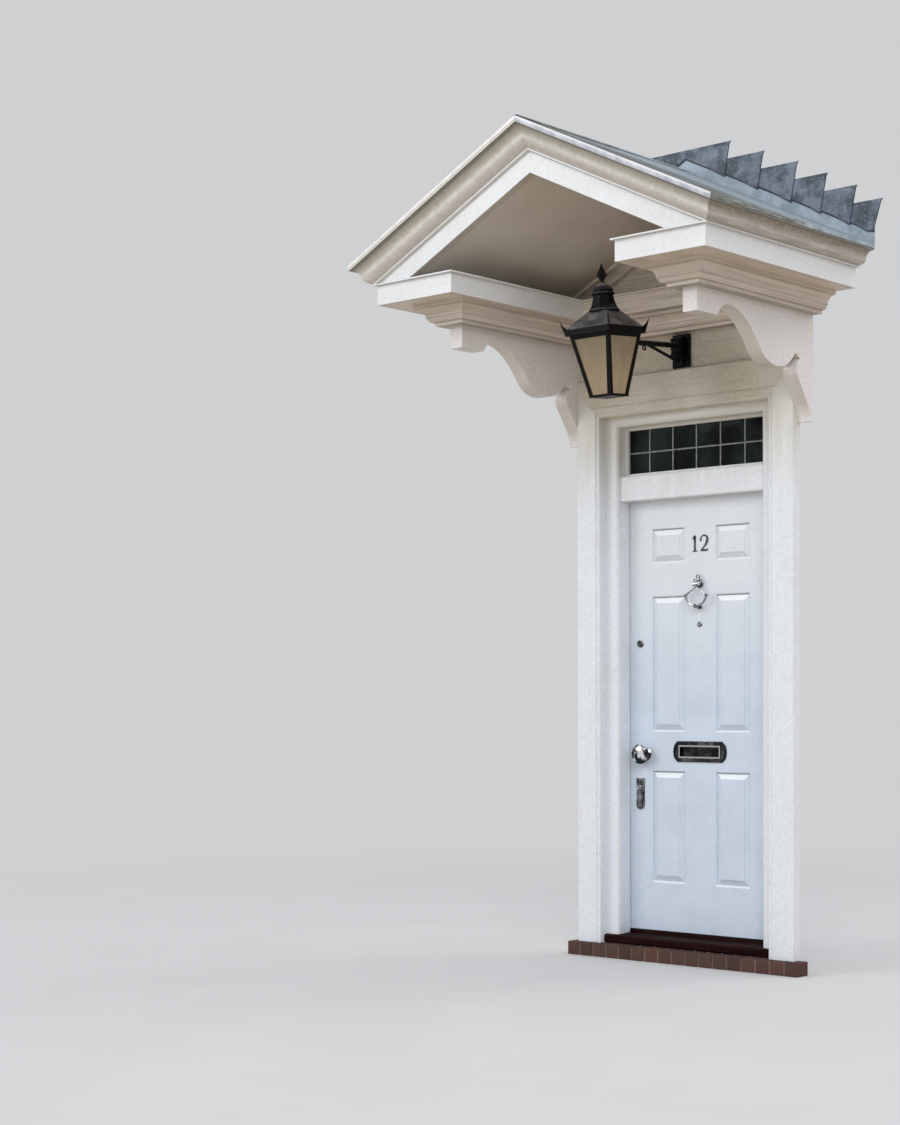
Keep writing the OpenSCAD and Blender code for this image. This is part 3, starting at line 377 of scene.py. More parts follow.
def roof_lead():
    """The roof's sheets: pale on the upstand with a painted shadow below the flashing, dark and green on the
    slope, mossy at the eaves.

    Their edge over the rake is painted: bright left of the ridge, and right of it bluish painted shade under
    a bright lip.
    """
    g = lead("roof_lead", (0.40, 0.47, 0.53), (0.25, 0.31, 0.35), (0.56, 0.60, 0.62))
    x, y, z = g.split(g.place)
    normal = g.normal()
    over_ridge = g.math("ADD", z, g.math("MULTIPLY", g.absolute(x), SLOPE))

    # Painted shadow: a dark line on the upstand just under the flashing's lower edge.
    under_flashing = g.remap(over_ridge, FLASH_FOOT - 10 * MM, FLASH_FOOT - 7 * MM, 0.0, 0.85)
    upstand = g.mix(under_flashing, g.colour(), (0.03, 0.035, 0.045))

    streaks = g.noise(1.0, 5.0, 0.6, (5.0, 70.0, 5.0))
    front_tone = g.mix(g.remap(streaks, 0.3, 0.8), (0.075, 0.088, 0.086), (0.16, 0.18, 0.18))
    rear_tone = g.mix(g.remap(streaks, 0.2, 0.8), (0.24, 0.28, 0.31), (0.34, 0.39, 0.43))
    dark_to, pale_from = -1.1, -0.5
    slope = g.mix(g.remap(g.ragged(y, g.noise(3.0, 4.0), 0.9), dark_to, pale_from), front_tone, rear_tone)
    sheet = g.mix(g.remap(normal[2], 0.5, 0.8), upstand, slope)

    eaves = g.remap(g.absolute(normal[0]), 0.75, 0.9)
    clean_from, moss_to = -0.35, -0.6
    mossy = g.remap(g.ragged(y, g.noise(16.0, 4.0), 0.9), clean_from, moss_to, 0.0, 0.9)
    threads = g.remap(g.noise(1.0, 4.0, 0.6, (20.0, 14.0, 330.0)), 0.42, 0.6)
    moss = g.mix(threads, (0.10, 0.105, 0.085), (0.34, 0.35, 0.31))
    sheet = g.mix(g.math("MULTIPLY", eaves, mossy), sheet, moss)

    bright = g.mix(g.remap(g.noise(14.0), 0.3, 0.7), (0.70, 0.69, 0.68), (0.80, 0.78, 0.76))
    lip = g.remap(over_ridge, LEAD_TOP - 8 * MM, LEAD_TOP - 4 * MM)
    left_or_lip = g.math("MAXIMUM", g.remap(x, 2 * MM, -2 * MM), lip)
    front = g.remap(y, CROWN_FRONT + 1 * MM, CROWN_FRONT - 0.5 * MM)
    # Right of the ridge, under the lip, the edge takes the bluish painted shade.
    edge = g.mix(left_or_lip, bluish_edge(g), bright)
    g.set(Base_Color=g.mix(front, sheet, edge), Specular_IOR_Level=0.2)
    return g


def lap_shadow_and_dirt():
    """Painted shadow with some dirt, for the strips along the laps of the flashing."""
    g = Graph("lap_shadow_and_dirt")
    cloud = g.noise(30.0, 4.0, 0.6)
    g.set(Base_Color=g.mix(g.remap(cloud, 0.3, 0.7), (0.012, 0.016, 0.022), (0.05, 0.06, 0.075)))
    g.set(Roughness=0.8)
    g.bump(cloud, 0.3, 0.5 * MM)
    return g


def sill_paint():
    """Oxblood gloss on the hardwood sill, with dust on what faces up."""
    g = Graph("sill_paint")
    grain = g.noise(1.0, 5.0, 0.6, (6.0, 120.0, 120.0))
    dust_and_painted_light = g.noise(12.0, 5.0, 0.7)
    base = g.mix(g.remap(grain, 0.35, 0.65), (0.010, 0.0035, 0.0035), (0.026, 0.008, 0.007))
    up = g.remap(g.normal()[2], 0.2, 0.9)
    dusty = g.math("MULTIPLY", up, g.remap(dust_and_painted_light, 0.45, 0.75, 0.0, 0.25))
    g.set(Base_Color=g.mix(dusty, base, (0.06, 0.03, 0.027)))
    g.set(Roughness=g.remap(dust_and_painted_light, 0.3, 0.7, 0.4, 0.65), Specular_IOR_Level=0.02)
    g.bump(grain, 0.25, 0.6 * MM)
    return g


def bare_timber():
    """Sawn softwood out of sight: long grain, a few dark streaks and saw marks across it."""
    g = Graph("bare_timber")
    grain = g.noise(1.0, 6.0, 0.65, (4.0, 26.0, 26.0))
    streak = g.noise(1.0, 3.0, 0.6, (1.5, 90.0, 90.0))
    saw = g.noise(1.0, 2.0, 0.5, (230.0, 8.0, 8.0))
    base = g.mix(g.remap(grain, 0.3, 0.7), (0.40, 0.29, 0.18), (0.56, 0.44, 0.30))
    g.set(Base_Color=g.mix(g.remap(streak, 0.5, 0.7, 0.0, 0.5), base, (0.27, 0.18, 0.10)), Roughness=0.8)
    g.bump(saw, 0.2, 0.5 * MM, g.bump(grain, 0.3, 1 * MM))
    return g


def brick_faces():
    """Red-brown facing brick: each brick has its own tone, with dark burnt patches and sandy grit."""
    g = Graph("brick_faces")
    left = STEP_LO.x - BRICK_JOINT / 2
    number = g.math("FLOOR", g.math("DIVIDE", g.math("SUBTRACT", g.split(g.place)[0], left), BRICK_PITCH))
    tone = g.node("ShaderNodeTexWhiteNoise", noise_dimensions="1D")
    g.link(number, tone.inputs["W"])
    burnt = g.noise(11.0, 5.0, 0.65)
    grit = g.noise(240.0, 3.0, 0.7)
    base = g.mix(tone.outputs[0], (0.05, 0.022, 0.018), (0.10, 0.042, 0.031))
    base = g.mix(g.remap(burnt, 0.45, 0.7, 0.0, 0.8), base, (0.055, 0.034, 0.030))
    g.set(Base_Color=g.mix(g.remap(grit, 0.55, 0.75, 0.0, 0.35), base, (0.30, 0.21, 0.16)), Roughness=0.86)
    g.bump(grit, 0.6, 0.8 * MM, g.bump(burnt, 0.5, 2 * MM))
    return g


def mortar():
    """Sandy, stained mortar."""
    g = Graph("mortar")
    sand = g.noise(190.0, 4.0, 0.7)
    stain = g.noise(9.0, 4.0)
    base = g.mix(g.remap(stain, 0.35, 0.7), (0.17, 0.11, 0.085), (0.085, 0.055, 0.043))
    g.set(Base_Color=g.mix(g.remap(sand, 0.4, 0.7, 0.0, 0.5), base, (0.23, 0.16, 0.12)), Roughness=0.95)
    g.bump(sand, 0.7, 1 * MM)
    return g


def black_metal():
    """Black satin paint on cast and sheet iron, with grey on what faces up: a little dust, and a painted
    sheen of the sky.
    """
    g = Graph("black_metal")
    skin = g.noise(150.0, 4.0, 0.6)
    cloud = g.noise(16.0, 5.0, 0.6)
    up = g.remap(g.normal()[2], 0.3, 0.75)
    # Dust and a painted sheen of the sky: grey on faces that look up.
    dust_and_painted_light = g.math("MULTIPLY", up, g.remap(cloud, 0.35, 0.65, 0.3, 1.0))
    g.set(Base_Color=g.mix(dust_and_painted_light, (0.004, 0.004, 0.005), (0.20, 0.195, 0.195)))
    g.set(Roughness=g.remap(cloud, 0.3, 0.7, 0.3, 0.5), Specular_IOR_Level=0.12)
    g.bump(skin, 0.35, 0.5 * MM)
    return g


def lantern_glass():
    """Frosted amber glass with a slight painted glow, standing in for daylight through it: darker and greener
    on top, paler and pinker at the foot.
    """
    g = Graph("lantern_glass")
    z = g.split(g.place)[2]
    lo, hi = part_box("lantern_panes")
    fall = g.remap(z, lo.z, hi.z)
    cloud = g.noise(1.0, 4.0, 0.6, (34.0, 34.0, 9.0))
    blotch = g.ragged(fall, cloud, 1.4, clamp=True)
    g.set(Base_Color=g.mix(blotch, (0.18, 0.135, 0.085), (0.12, 0.10, 0.06)))
    g.set(Roughness=g.remap(cloud, 0.3, 0.7, 0.24, 0.42), Transmission_Weight=0.25)
    # Painted light: the glass glows though no lamp is in it.
    g.set(Emission_Color=g.mix(blotch, (0.15, 0.112, 0.069), (0.09, 0.068, 0.041)), Emission_Strength=1.0)
    g.bump(g.noise(60.0, 3.0), 0.3, 1 * MM)
    return g


def window_glass():
    """Old leaded glass, almost black as painted shade of the dark room behind it, greener in parts, and a
    little wavy.
    """
    g = Graph("window_glass")
    shade = g.noise(5.0, 4.0, 0.6, (2.0, 1.0, 0.8))
    g.set(Base_Color=g.mix(g.remap(shade, 0.35, 0.7), (0.004, 0.006, 0.005), (0.018, 0.026, 0.021)))
    g.set(Roughness=0.07, Specular_IOR_Level=0.06)
    g.bump(g.noise(9.0, 2.0, 0.5), 0.35, 3 * MM)
    return g


def came_lead():
    """Dull, cloudy lead of the fanlight's cames."""
    g = Graph("came_lead")
    cloud = g.noise(70.0, 4.0, 0.6)
    g.set(Base_Color=g.mix(g.remap(cloud, 0.3, 0.7), (0.15, 0.16, 0.15), (0.30, 0.31, 0.30)), Metallic=0.3)
    g.set(Roughness=g.remap(cloud, 0.3, 0.7, 0.4, 0.6))
    g.bump(cloud, 0.3, 0.4 * MM)
    return g


def chrome(name, bright, dull, roughness, patchy=1.6):
    """Plated metal with a painted reflection: bright on the faces that look up, as if mirroring the sky, and
    dark in blotches below, as if mirroring the ground.
    """
    g = Graph(name)
    wipe = g.noise(1.0, 3.0, 0.6, (160.0, 160.0, 30.0))
    spot = g.noise(48.0, 4.0, 0.7)
    blotch = g.noise(26.0, 3.0, 0.5)
    facing = g.ragged(g.normal()[2], blotch, patchy)
    # Painted reflection: the bright colour on faces that look up, the dark one below.
    g.set(Base_Color=g.mix(g.remap(facing, -0.15, 0.45), dull, bright), Metallic=1.0)
    g.set(Roughness=g.remap(spot, 0.5, 0.8, roughness, roughness + 0.16))
    g.bump(wipe, 0.05, 0.3 * MM)
    return g


def letter_metal():
    """Letter plate, dark as a painted reflection, with a painted highlight on the frame round its flap."""
    g = chrome("letter_metal", (0.16, 0.16, 0.17), (0.03, 0.03, 0.035), 0.25)
    frame_face = LEAF_LO.y - 8 * MM
    off = g.absolute(g.math("SUBTRACT", g.split(g.place)[1], frame_face))
    # Painted highlight: a bright rim along the frame round the flap.
    g.set(Base_Color=g.mix(g.remap(off, 0.5 * MM, 0.3 * MM), g.colour(), (0.50, 0.49, 0.46)))
    return g


# Mesh helpers

def add(name, bm, body, material, smooth_angle=None):
    """Turns a bmesh into a named piece that rides on a body."""
    bmesh.ops.recalc_face_normals(bm, faces=bm.faces)
    mesh = bpy.data.meshes.new(name)
    bm.to_mesh(mesh)
    bm.free()
    obj = bpy.data.objects.new(name, mesh)
    bpy.context.scene.collection.objects.link(obj)
    mesh.materials.append(material)
    if smooth_angle is not None:
        mesh.shade_smooth()
        mesh.set_sharp_from_angle(angle=math.radians(smooth_angle))
    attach(obj, body)
    return obj


def lathe(bm, profile, place, axis, sides=32):
    """Revolves (radius, height) pairs round an axis through place. The first and last radius may be 0."""
    turn = Vector((0, 0, 1)).rotation_difference(Vector(axis)).to_matrix()
    rings = []
    for radius, height in profile:
        if radius == 0:
            rings.append([bm.verts.new(place + turn @ Vector((0, 0, height)))])
            continue
        angles = [2 * math.pi * k / sides for k in range(sides)]
        round_axis = [Vector((radius * math.cos(a), radius * math.sin(a), height)) for a in angles]
        rings.append([bm.verts.new(place + turn @ spot) for spot in round_axis])
    for low, high in zip(rings, rings[1:]):
        for k in range(sides):
            below = [low[k % len(low)], low[(k + 1) % len(low)]]
            above = [high[(k + 1) % len(high)], high[k % len(high)]]
            face = list(dict.fromkeys(below + above))
            if len(face) > 2:
                bm.faces.new(face)


def sheet(bm, point, nu, nv, thick, trim=False):
    """A closed sheet: point(u, v) gives its outer face, and thick is the vector to its inner face.

    With trim, the faces at u = 1 and v = 0 take the second material.
    """
    layers = []
    for offset in (Vector(), thick):
        rows = [[point(i / nu, j / nv) + offset for j in range(nv + 1)] for i in range(nu + 1)]
        layers.append([[bm.verts.new(place) for place in row] for row in rows])
    for layer in layers:
        for i in range(nu):
            for j in range(nv):
                face = bm.faces.new((layer[i][j], layer[i + 1][j], layer[i + 1][j + 1], layer[i][j + 1]))
                face.material_index = int(trim and (i == nu - 1 or j == 0))
    outer, inner = layers
    for i in range(nu):
        for j in (0, nv):
            bm.faces.new((outer[i][j], outer[i + 1][j], inner[i + 1][j], inner[i][j]))
    for j in range(nv):
        for i in (0, nu):
            bm.faces.new((outer[i][j], outer[i][j + 1], inner[i][j + 1], inner[i][j]))


def soft_box(bm, lo, hi, edge, segments=2):
    """A box with rounded edges."""
    fitted = Matrix.Translation((lo + hi) / 2) @ Matrix.Diagonal((*(hi - lo), 1))
    made = bmesh.ops.create_cube(bm, size=1.0, matrix=fitted)
    edges = list(dict.fromkeys(e for v in made["verts"] for e in v.link_edges))
    bmesh.ops.bevel(bm, geom=edges, offset=edge, segments=segments, profile=0.6, affect="EDGES")


# Brick step

def step_bricks(material):
    """Bricks with rounded, slightly worn edges, each set a little lower or further back than the next."""
    rng = random.Random(7)
    most_sunk, most_back = 1.5, 2.0
    rounding, most_worn = 3.5 * MM, 1.6 * MM
    bm = bmesh.new()
    for k in range(BRICK_COUNT):
        x = STEP_LO.x + k * BRICK_PITCH
        sink = rng.uniform(0.0, most_sunk) * MM
        back = rng.uniform(0.0, most_back) * MM
        lo = Vector((x, STEP_LO.y + back, STEP_LO.z))
        hi = Vector((x + BRICK_PITCH - BRICK_JOINT, STEP_HI.y, STEP_HI.z - sink))
        soft_box(bm, lo, hi, rounding)
    long_edges = [e for e in bm.edges if e.calc_length() > 20 * MM]
    bmesh.ops.subdivide_edges(bm, edges=long_edges, cuts=5, use_grid_fill=True)
    for v in bm.verts:
        rough = noise.fractal(v.co * 55.0, 1.0, 2.0, 4)
        inset = min(max(rough, 0.0), 1.0) * most_worn
        middle = Vector((v.co.x, (STEP_LO.y + STEP_HI.y) / 2, (STEP_LO.z + STEP_HI.z) / 2))
        v.co += (middle - v.co).normalized() * inset
    return add("step_bricks", bm, "porch", material, 50)


def step_mortar(material):
    """Mortar between the bricks: one core that stands back from their faces, with an uneven front."""
    bm = bmesh.new()
    recess, end_in, back_in = 4 * MM, 2 * MM, 2 * MM
    lo = Vector((STEP_LO.x + end_in, STEP_LO.y + recess, STEP_LO.z))
    hi = Vector((STEP_HI.x - end_in, STEP_HI.y, STEP_HI.z - recess))

    def front(u, v):
        x = lo.x + (hi.x - lo.x) * u
        z = lo.z + (hi.z - lo.z) * v
        wave = noise.noise(Vector((x * 40, 0, z * 40))) * 1.2 * MM
        return Vector((x, lo.y + wave, z))

    columns, rows = 130, 6
    sheet(bm, front, columns, rows, Vector((0, hi.y - lo.y - back_in, 0)))
    return add("step_mortar", bm, "porch", material)


# Fanlight cames

CAME_W, CAME_D = 7.5 * MM, 2.4 * MM
CAME_PITCH = 135 * MM
CAME_LEVEL = GLASS_LO.z + (GLASS_HI.z - GLASS_LO.z) * 0.48


def came(bm, start, run, out):
    """One lead strip along run, half round, on the glass's outer (out = -1) or inner (out = 1) face."""
    across = Vector((0, 0, 1)) if run.x else Vector((1, 0, 0))

    def point(u, v):
        a = math.pi * v
        raised = Vector((0, out * CAME_D * math.sin(a), 0))
        return start + run * u - across * CAME_W / 2 * math.cos(a) + raised

    sheet(bm, point, 1, 8, Vector((0, -out * 0.4 * MM, 0)))


def fanlight_cames(material):
    """Upright and level lead strips on both faces of the glass, with a blob of solder at each crossing."""
    bm = bmesh.new()
    blob = [(0, 1.15), (0.35, 1.05), (0.62, 0.5), (0.72, 0)]
    solder = [(r * CAME_W, h * CAME_D) for r, h in blob]
    for y, out in ((GLASS_LO.y, -1.0), (GLASS_HI.y, 1.0)):
        for k in range(-2, 3):
            x = k * CAME_PITCH
            came(bm, Vector((x, y, GLASS_LO.z)), Vector((0, 0, GLASS_HI.z - GLASS_LO.z)), out)
            lathe(bm, solder, Vector((x, y, CAME_LEVEL)), (0, out, 0), 12)
        came(bm, Vector((-GLASS_HI.x, y, CAME_LEVEL)), Vector((2 * GLASS_HI.x, 0, 0)), out)
    return add("fanlight_cames", bm, "porch", material, 40)


# Door numerals

def ribbon(path, widths):
    """Outline round a path of (x, z) points, with a width at each."""
    left, right = [], []
    for k, here in enumerate(path):
        ahead = path[min(k + 1, len(path) - 1)]
        behind = path[max(k - 1, 0)]
        run = (ahead - behind).normalized()
        side = Vector((-run.y, run.x)) * widths[k] / 2
        left.append(here + side)
        right.append(here - side)
    return left + right[::-1]


def numerals(material):
    """A plain 12 in strokes of changing width. Each stroke is a path in shares of the height, about shift."""
    bm = bmesh.new()
    foot, height, thick = LEAF_LO.z + 1725 * MM, 74 * MM, 3.5 * MM

    def cut(path, widths, shift):
        outline = ribbon([Vector(p) for p in path], widths)
        front, back = [], []
        for p in outline:
            x, z = (p.x + shift) * height, foot + p.y * height
            front.append(bm.verts.new((x, LEAF_LO.y - thick, z)))
            back.append(bm.verts.new((x, LEAF_LO.y, z)))
        count = len(outline)
        half = count // 2
        for ring in (front, back):
            for k in range(half - 1):
                bm.faces.new((ring[k], ring[k + 1], ring[count - 2 - k], ring[count - 1 - k]))
        for k in range(count):
            bm.faces.new((front[k], front[(k + 1) % count], back[(k + 1) % count], back[k]))

    one, two = -0.36, 0.36
    cut([(0.0, 0.02), (0.0, 0.5), (0.0, 0.98)], [0.13, 0.12, 0.13], one)
    cut([(-0.2, 0.76), (-0.1, 0.83), (-0.02, 0.95)], [0.035, 0.06, 0.05], one)
    cut([(-0.2, 0.02), (0.0, 0.02), (0.2, 0.02)], [0.035, 0.045, 0.035], one)
    turns = [math.radians(200 - 14 * k) for k in range(17)]
    bowl = [(0.255 * math.cos(a) - 0.01, 0.72 + 0.25 * math.sin(a)) for a in turns]
    bowl_widths = [0.13 - 0.02 * min(k, 4) + 0.012 * max(0, k - 6) for k in range(len(bowl))]
    sweep = [(0.12, 0.40), (-0.06, 0.22), (-0.22, 0.08)]
    cut(bowl + sweep, bowl_widths + [0.11, 0.07, 0.05], two)
    cut([(-0.27, 0.05), (0.0, 0.06), (0.2, 0.05), (0.28, 0.14)], [0.06, 0.11, 0.09, 0.03], two)
    return add("numerals", bm, "door", material, 35)


# Stepped flashing and the ridge's seam

def edged(share, count, edge):
    """Even steps, save that the last one is only as wide as the share edge."""
    return share if share in (0.0, 1.0) else share * count / (count - 1) * (1 - edge)


def soaker(bm, side, k, corner, inner):
    """Piece k of the flashing, from inner to corner: off the upstand, with its top turned into the wall."""
    nu, nv, dark_strip = 11, 20, 5 * MM
    top = FLASH_TOP + k * FLASH_RISE

    def point(u, v):
        u = edged(u, nu, dark_strip / (corner - inner))
        v = 1 - edged(1 - v, nv, dark_strip / (2 * FLASH_RISE))
        x = inner + (corner - inner) * u
        foot = FLASH_FOOT - min(x, EAVE_X + LEAD) * SLOPE
        z = foot + (top - foot) * v
        rise = FLASH_RISE if k else top - foot
        lean = FLASH_LEAN if k else FLASH_END - EAVE_X - LEAD
        x -= u * lean * (top - z) / rise
        dent = noise.noise(Vector((x * 14, k * 3.1, z * 16))) * 0.48 * MM
        stand_off = (4.6 + 2.2 * u) * MM - dent
        turned = max(0.0, (v - 0.9) / 0.1)
        return Vector((side * x, -stand_off * (1 - turned) - 1.4 * MM, z))

    sheet(bm, point, nu, nv, Vector((0, 1.3 * MM, 0)), trim=True)


def flashing(side, material, shadow_and_dirt):
    """Separate lead soakers over the upstand, each lapping the one below it, with painted shadow and dirt
    along their laps.
    """
    bm = bmesh.new()
    lap = 34 * MM
    corners = [FLASH_END - share * FLASH_STEP for share in FLASH_ENDS]
    inners = [corner - FLASH_LEAN - lap for corner in corners[1:]] + [0.0]
    for k, (corner, inner) in enumerate(zip(corners, inners)):
        soaker(bm, side, k, corner, inner)
    name = "right_soakers" if side > 0 else "left_soakers"
    node = "right_flashing" if side > 0 else "left_flashing"
    piece = add(name, bm, "porch", material, 30)
    # The second material paints shadow and dirt on the strips along the laps.
    piece.data.materials.append(shadow_and_dirt)
    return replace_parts(piece, node)


def ridge_seam(material):
    """Folded seam of the lead sheets along the ridge."""
    bm = bmesh.new()
    high, half = 7 * MM, 15 * MM
    start = Vector((0, CROWN_FRONT + 2 * MM, LEAD_TOP - 3 * MM))
    end = Vector((0, -9 * MM, start.z))

    def point(u, v):
        a = math.pi * v
        along = start + (end - start) * u
        wobble = noise.noise(along * 9.0) * 1.2 * MM
        return along + Vector((half * -math.cos(a) + wobble, 0, high * math.sin(a) ** 0.6))

    sheet(bm, point, 60, 10, Vector((0, 0, -1.5 * MM)))
    return add("ridge_seam", bm, "porch", material, 40)


# Bolts, screws, hinge pins and the knob

def screw(bm, place, radius):
    """A domed head that looks outward, with a round dimple in its middle."""
    dome = [(0, 0.42), (0.12, 0.42), (0.14, 0.54), (0.35, 0.50), (0.75, 0.32), (1, 0.08), (1, 0)]
    lathe(bm, [(r * radius, h * radius) for r, h in dome], Vector(place), (0, -1, 0), 16)


def lantern_bolts(material):
    """Four coach bolts through the lantern's wall plate, which stands on the frieze board."""
    plate_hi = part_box("lantern_arm")[1]
    board_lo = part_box("frieze_board")[0]
    plate_thick, plate_foot, inset = 16 * MM, board_lo.z + 2 * MM, 15 * MM
    bm = bmesh.new()
    for x in (inset - plate_hi.x, plate_hi.x - inset):
        for z in (plate_foot + inset, plate_hi.z - inset):
            screw(bm, (x, board_lo.y - plate_thick, z), 7 * MM)
    return add("lantern_bolts", bm, "porch", material, 50)


def lock_screws(material):
    """The screw in the lower lock's plate, and the pin that its keyhole cover swings on."""
    lo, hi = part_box("door_locks")
    case_past_plate = 40 * MM
    x = hi.x - case_past_plate
    plate_face = lo.y + 4 * MM
    screw_z, pin_z = lo.z + 104 * MM, lo.z + 78 * MM
    bm = bmesh.new()
    screw(bm, (x, plate_face, screw_z), 6 * MM)
    screw(bm, (x, lo.y, pin_z), 5 * MM)
    return add("lock_screws", bm, "door", material, 50)


def knob(material):
    """Turned knob on its rose: a ring at the rose, a slim neck and a flattened ball."""
    lo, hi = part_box("door_knob")
    foot = Vector(((lo.x + hi.x) / 2, hi.y, (lo.z + hi.z) / 2))
    wide, deep = (hi.x - lo.x) / 2, hi.y - lo.y
    rose_and_neck = [(0, 0), (33, 0), (33, 2.2), (32.4, 3.2), (31, 3.8), (30, 5.4), (27.5, 7), (22, 8.6),
                     (15.5, 9.6), (13, 11), (12.4, 13), (12.6, 15.5), (14, 17.5)]
    profile = [(r * MM, h * MM) for r, h in rose_and_neck]
    ball_half = (deep - profile[-1][1]) / 2
    for k in range(1, 18):
        a = math.radians(-72 + 9 * k)
        profile.append((wide * math.cos(a) ** 0.8, deep - ball_half + ball_half * math.sin(a)))
    profile.append((0, deep))
    bm = bmesh.new()
    lathe(bm, profile, foot, (0, -1, 0), 64)
    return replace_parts(add("turned_knob", bm, "door", material, 40), "door_knob")


def hinge_pins(material):
    """Domed pin ends above and below each butt hinge's knuckles."""
    bm = bmesh.new()
    lo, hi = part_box("frame_hinges")
    x, y, _ = next(joint["pos_m"] for joint in frame["joints"] if joint["name"] == "door_hinge")
    tall = 100 * MM
    dome = [(0, 3.2), (2.6, 2.8), (4.4, 1.8), (5.2, 0.6), (5.2, -0.2), (0, -0.2)]
    cap = [(r * MM, h * MM) for r, h in dome]
    for foot in (lo.z, (lo.z + hi.z - tall) / 2, hi.z - tall):
        lathe(bm, cap, Vector((x, y, foot + tall)), (0, 0, 1), 20)
        lathe(bm, cap, Vector((x, y, foot)), (0, 0, -1), 20)
    return add("hinge_pins", bm, "porch", material, 40)


def dress_solids(silver, black, roof):
    """Gives each CAD solid that stays its own finish."""
    finishes = {
        frame_paint("white_paint", (0.79, 0.83, 0.895), (0.66, 0.65, 0.60)): [
            "left_jamb", "right_jamb", "frame_head", "transom_rail", "fanlight_beads"],
        frame_paint("pilaster_paint", (0.785, 0.825, 0.885), (0.62, 0.61, 0.55)): [
            "left_pilaster", "right_pilaster"],
        # The header and frieze, the mouldings and the ceilings take darker, warmer tones than the white below
        # as painted shade of the canopy.
        canopy_shade_paint(): ["header_board", "frieze_board"],
        canopy_paint("rake_paint", True): ["left_rake_corona", "right_rake_corona"],
        canopy_paint("cornice_paint", False): ["left_cornice", "right_cornice"],
        moulding_paint("bed_paint", (0.64, 0.59, 0.53), (0.50, 0.45, 0.39), (0.60, 0.52, 0.44), "y"): [
            "left_bed_mould", "right_bed_mould"],
        moulding_paint("rear_paint", (0.84, 0.78, 0.69), (0.60, 0.54, 0.46), (0.52, 0.455, 0.38), "x"): [
            "rear_tympanum", "rear_rake_mould", "wall_bed_mould", "wall_corona"],
        shaded_paint("bracket_paint", (0.745, 0.71, 0.70), (0.50, 0.485, 0.46), (0.52, 0.49, 0.44), "z"): [
            "left_bracket", "right_bracket"],
        shaded_paint("ceiling_paint", (0.62, 0.58, 0.52), (0.52, 0.48, 0.43), (0.50, 0.45, 0.39), "y", 0.5): [
            "left_ceiling", "right_ceiling"],
        crown_paint("crown_paint", False): ["left_eaves_crown", "right_eaves_crown"],
        crown_paint("raking_crown_paint", True): ["left_rake_crown", "right_rake_crown"],
        door_paint(): ["door_leaf"],
        sill_paint(): ["door_sill"],
        bare_timber(): ["left_rafters", "right_rafters", "left_roof_boards", "right_roof_boards"],
        roof: ["left_lead", "right_lead"],
        window_glass(): ["fanlight_glass"],
        lantern_glass(): ["lantern_panes"],
        black: ["lantern_arm", "lantern_frame", "lantern_roof"],
        silver: ["door_knob", "door_locks", "door_viewer", "knocker_plate", "door_hinges", "frame_hinges"],
        # Chromes with painted reflection: bright colour above, dark below.
        chrome("ring_chrome", (0.85, 0.86, 0.88), (0.24, 0.24, 0.26), 0.1): ["knocker_ring"],
        chrome("flap_metal", (0.075, 0.062, 0.062), (0.016, 0.012, 0.012), 0.3): ["letter_flap"],
        letter_metal(): ["letter_plate"],
    }
    for finish, names in finishes.items():
        for name in names:
            mesh = NODES[name].data
            mesh.materials.clear()
            mesh.materials.append(finish.mat)


def add_pieces(silver, black, roof):
    """Builds the pieces that are too fine for the solids."""
    bricks = step_bricks(brick_faces().mat)
    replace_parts(bricks, "brick_step")
    step_mortar(mortar().mat)
    fanlight_cames(came_lead().mat)
    # Numerals in chrome with painted reflection, dark overall.
    numerals(chrome("dark_chrome", (0.20, 0.20, 0.21), (0.05, 0.05, 0.055), 0.2).mat)
    soakers = lead("flashing_lead", (0.185, 0.215, 0.265), (0.04, 0.052, 0.07), (0.44, 0.48, 0.53))
    shadow_and_dirt = lap_shadow_and_dirt()
    for side in (1, -1):
        flashing(side, soakers.mat, shadow_and_dirt.mat)
    ridge_seam(roof.mat)
    lantern_bolts(black.mat)
    # The knob's chrome: painted reflection in strong black and white blotches.
    knob(chrome("knob_chrome", (0.92, 0.93, 0.95), (0.03, 0.03, 0.035), 0.04, 6.0).mat)
    lock_screws(silver.mat)
    hinge_pins(silver.mat)


def main():
    # Chrome with painted reflection for the fittings.
    silver = chrome("chrome", (0.66, 0.67, 0.70), (0.08, 0.08, 0.085), 0.08)
    black = black_metal()
    roof = roof_lead()
    dress_solids(silver, black, roof)
    add_pieces(silver, black, roof)


# Studio: floor, light and camera

FRAME_W, FRAME_H = 900, 1125
BACKGROUND = (0.62, 0.63, 0.64)


def background_seen(tree):
    """1 for what the camera, a mirror or glass sees directly."""
    path = tree.nodes.new("ShaderNodeLightPath")
    total = None
    for ray in ("Is Camera Ray", "Is Glossy Ray", "Is Transmission Ray"):
        if total is None:
            total = path.outputs[ray]
            continue
        both = tree.nodes.new("ShaderNodeMath")
        both.operation = "MAXIMUM"
        tree.links.new(total, both.inputs[0])
        tree.links.new(path.outputs[ray], both.inputs[1])
        total = both.outputs[0]
    return total


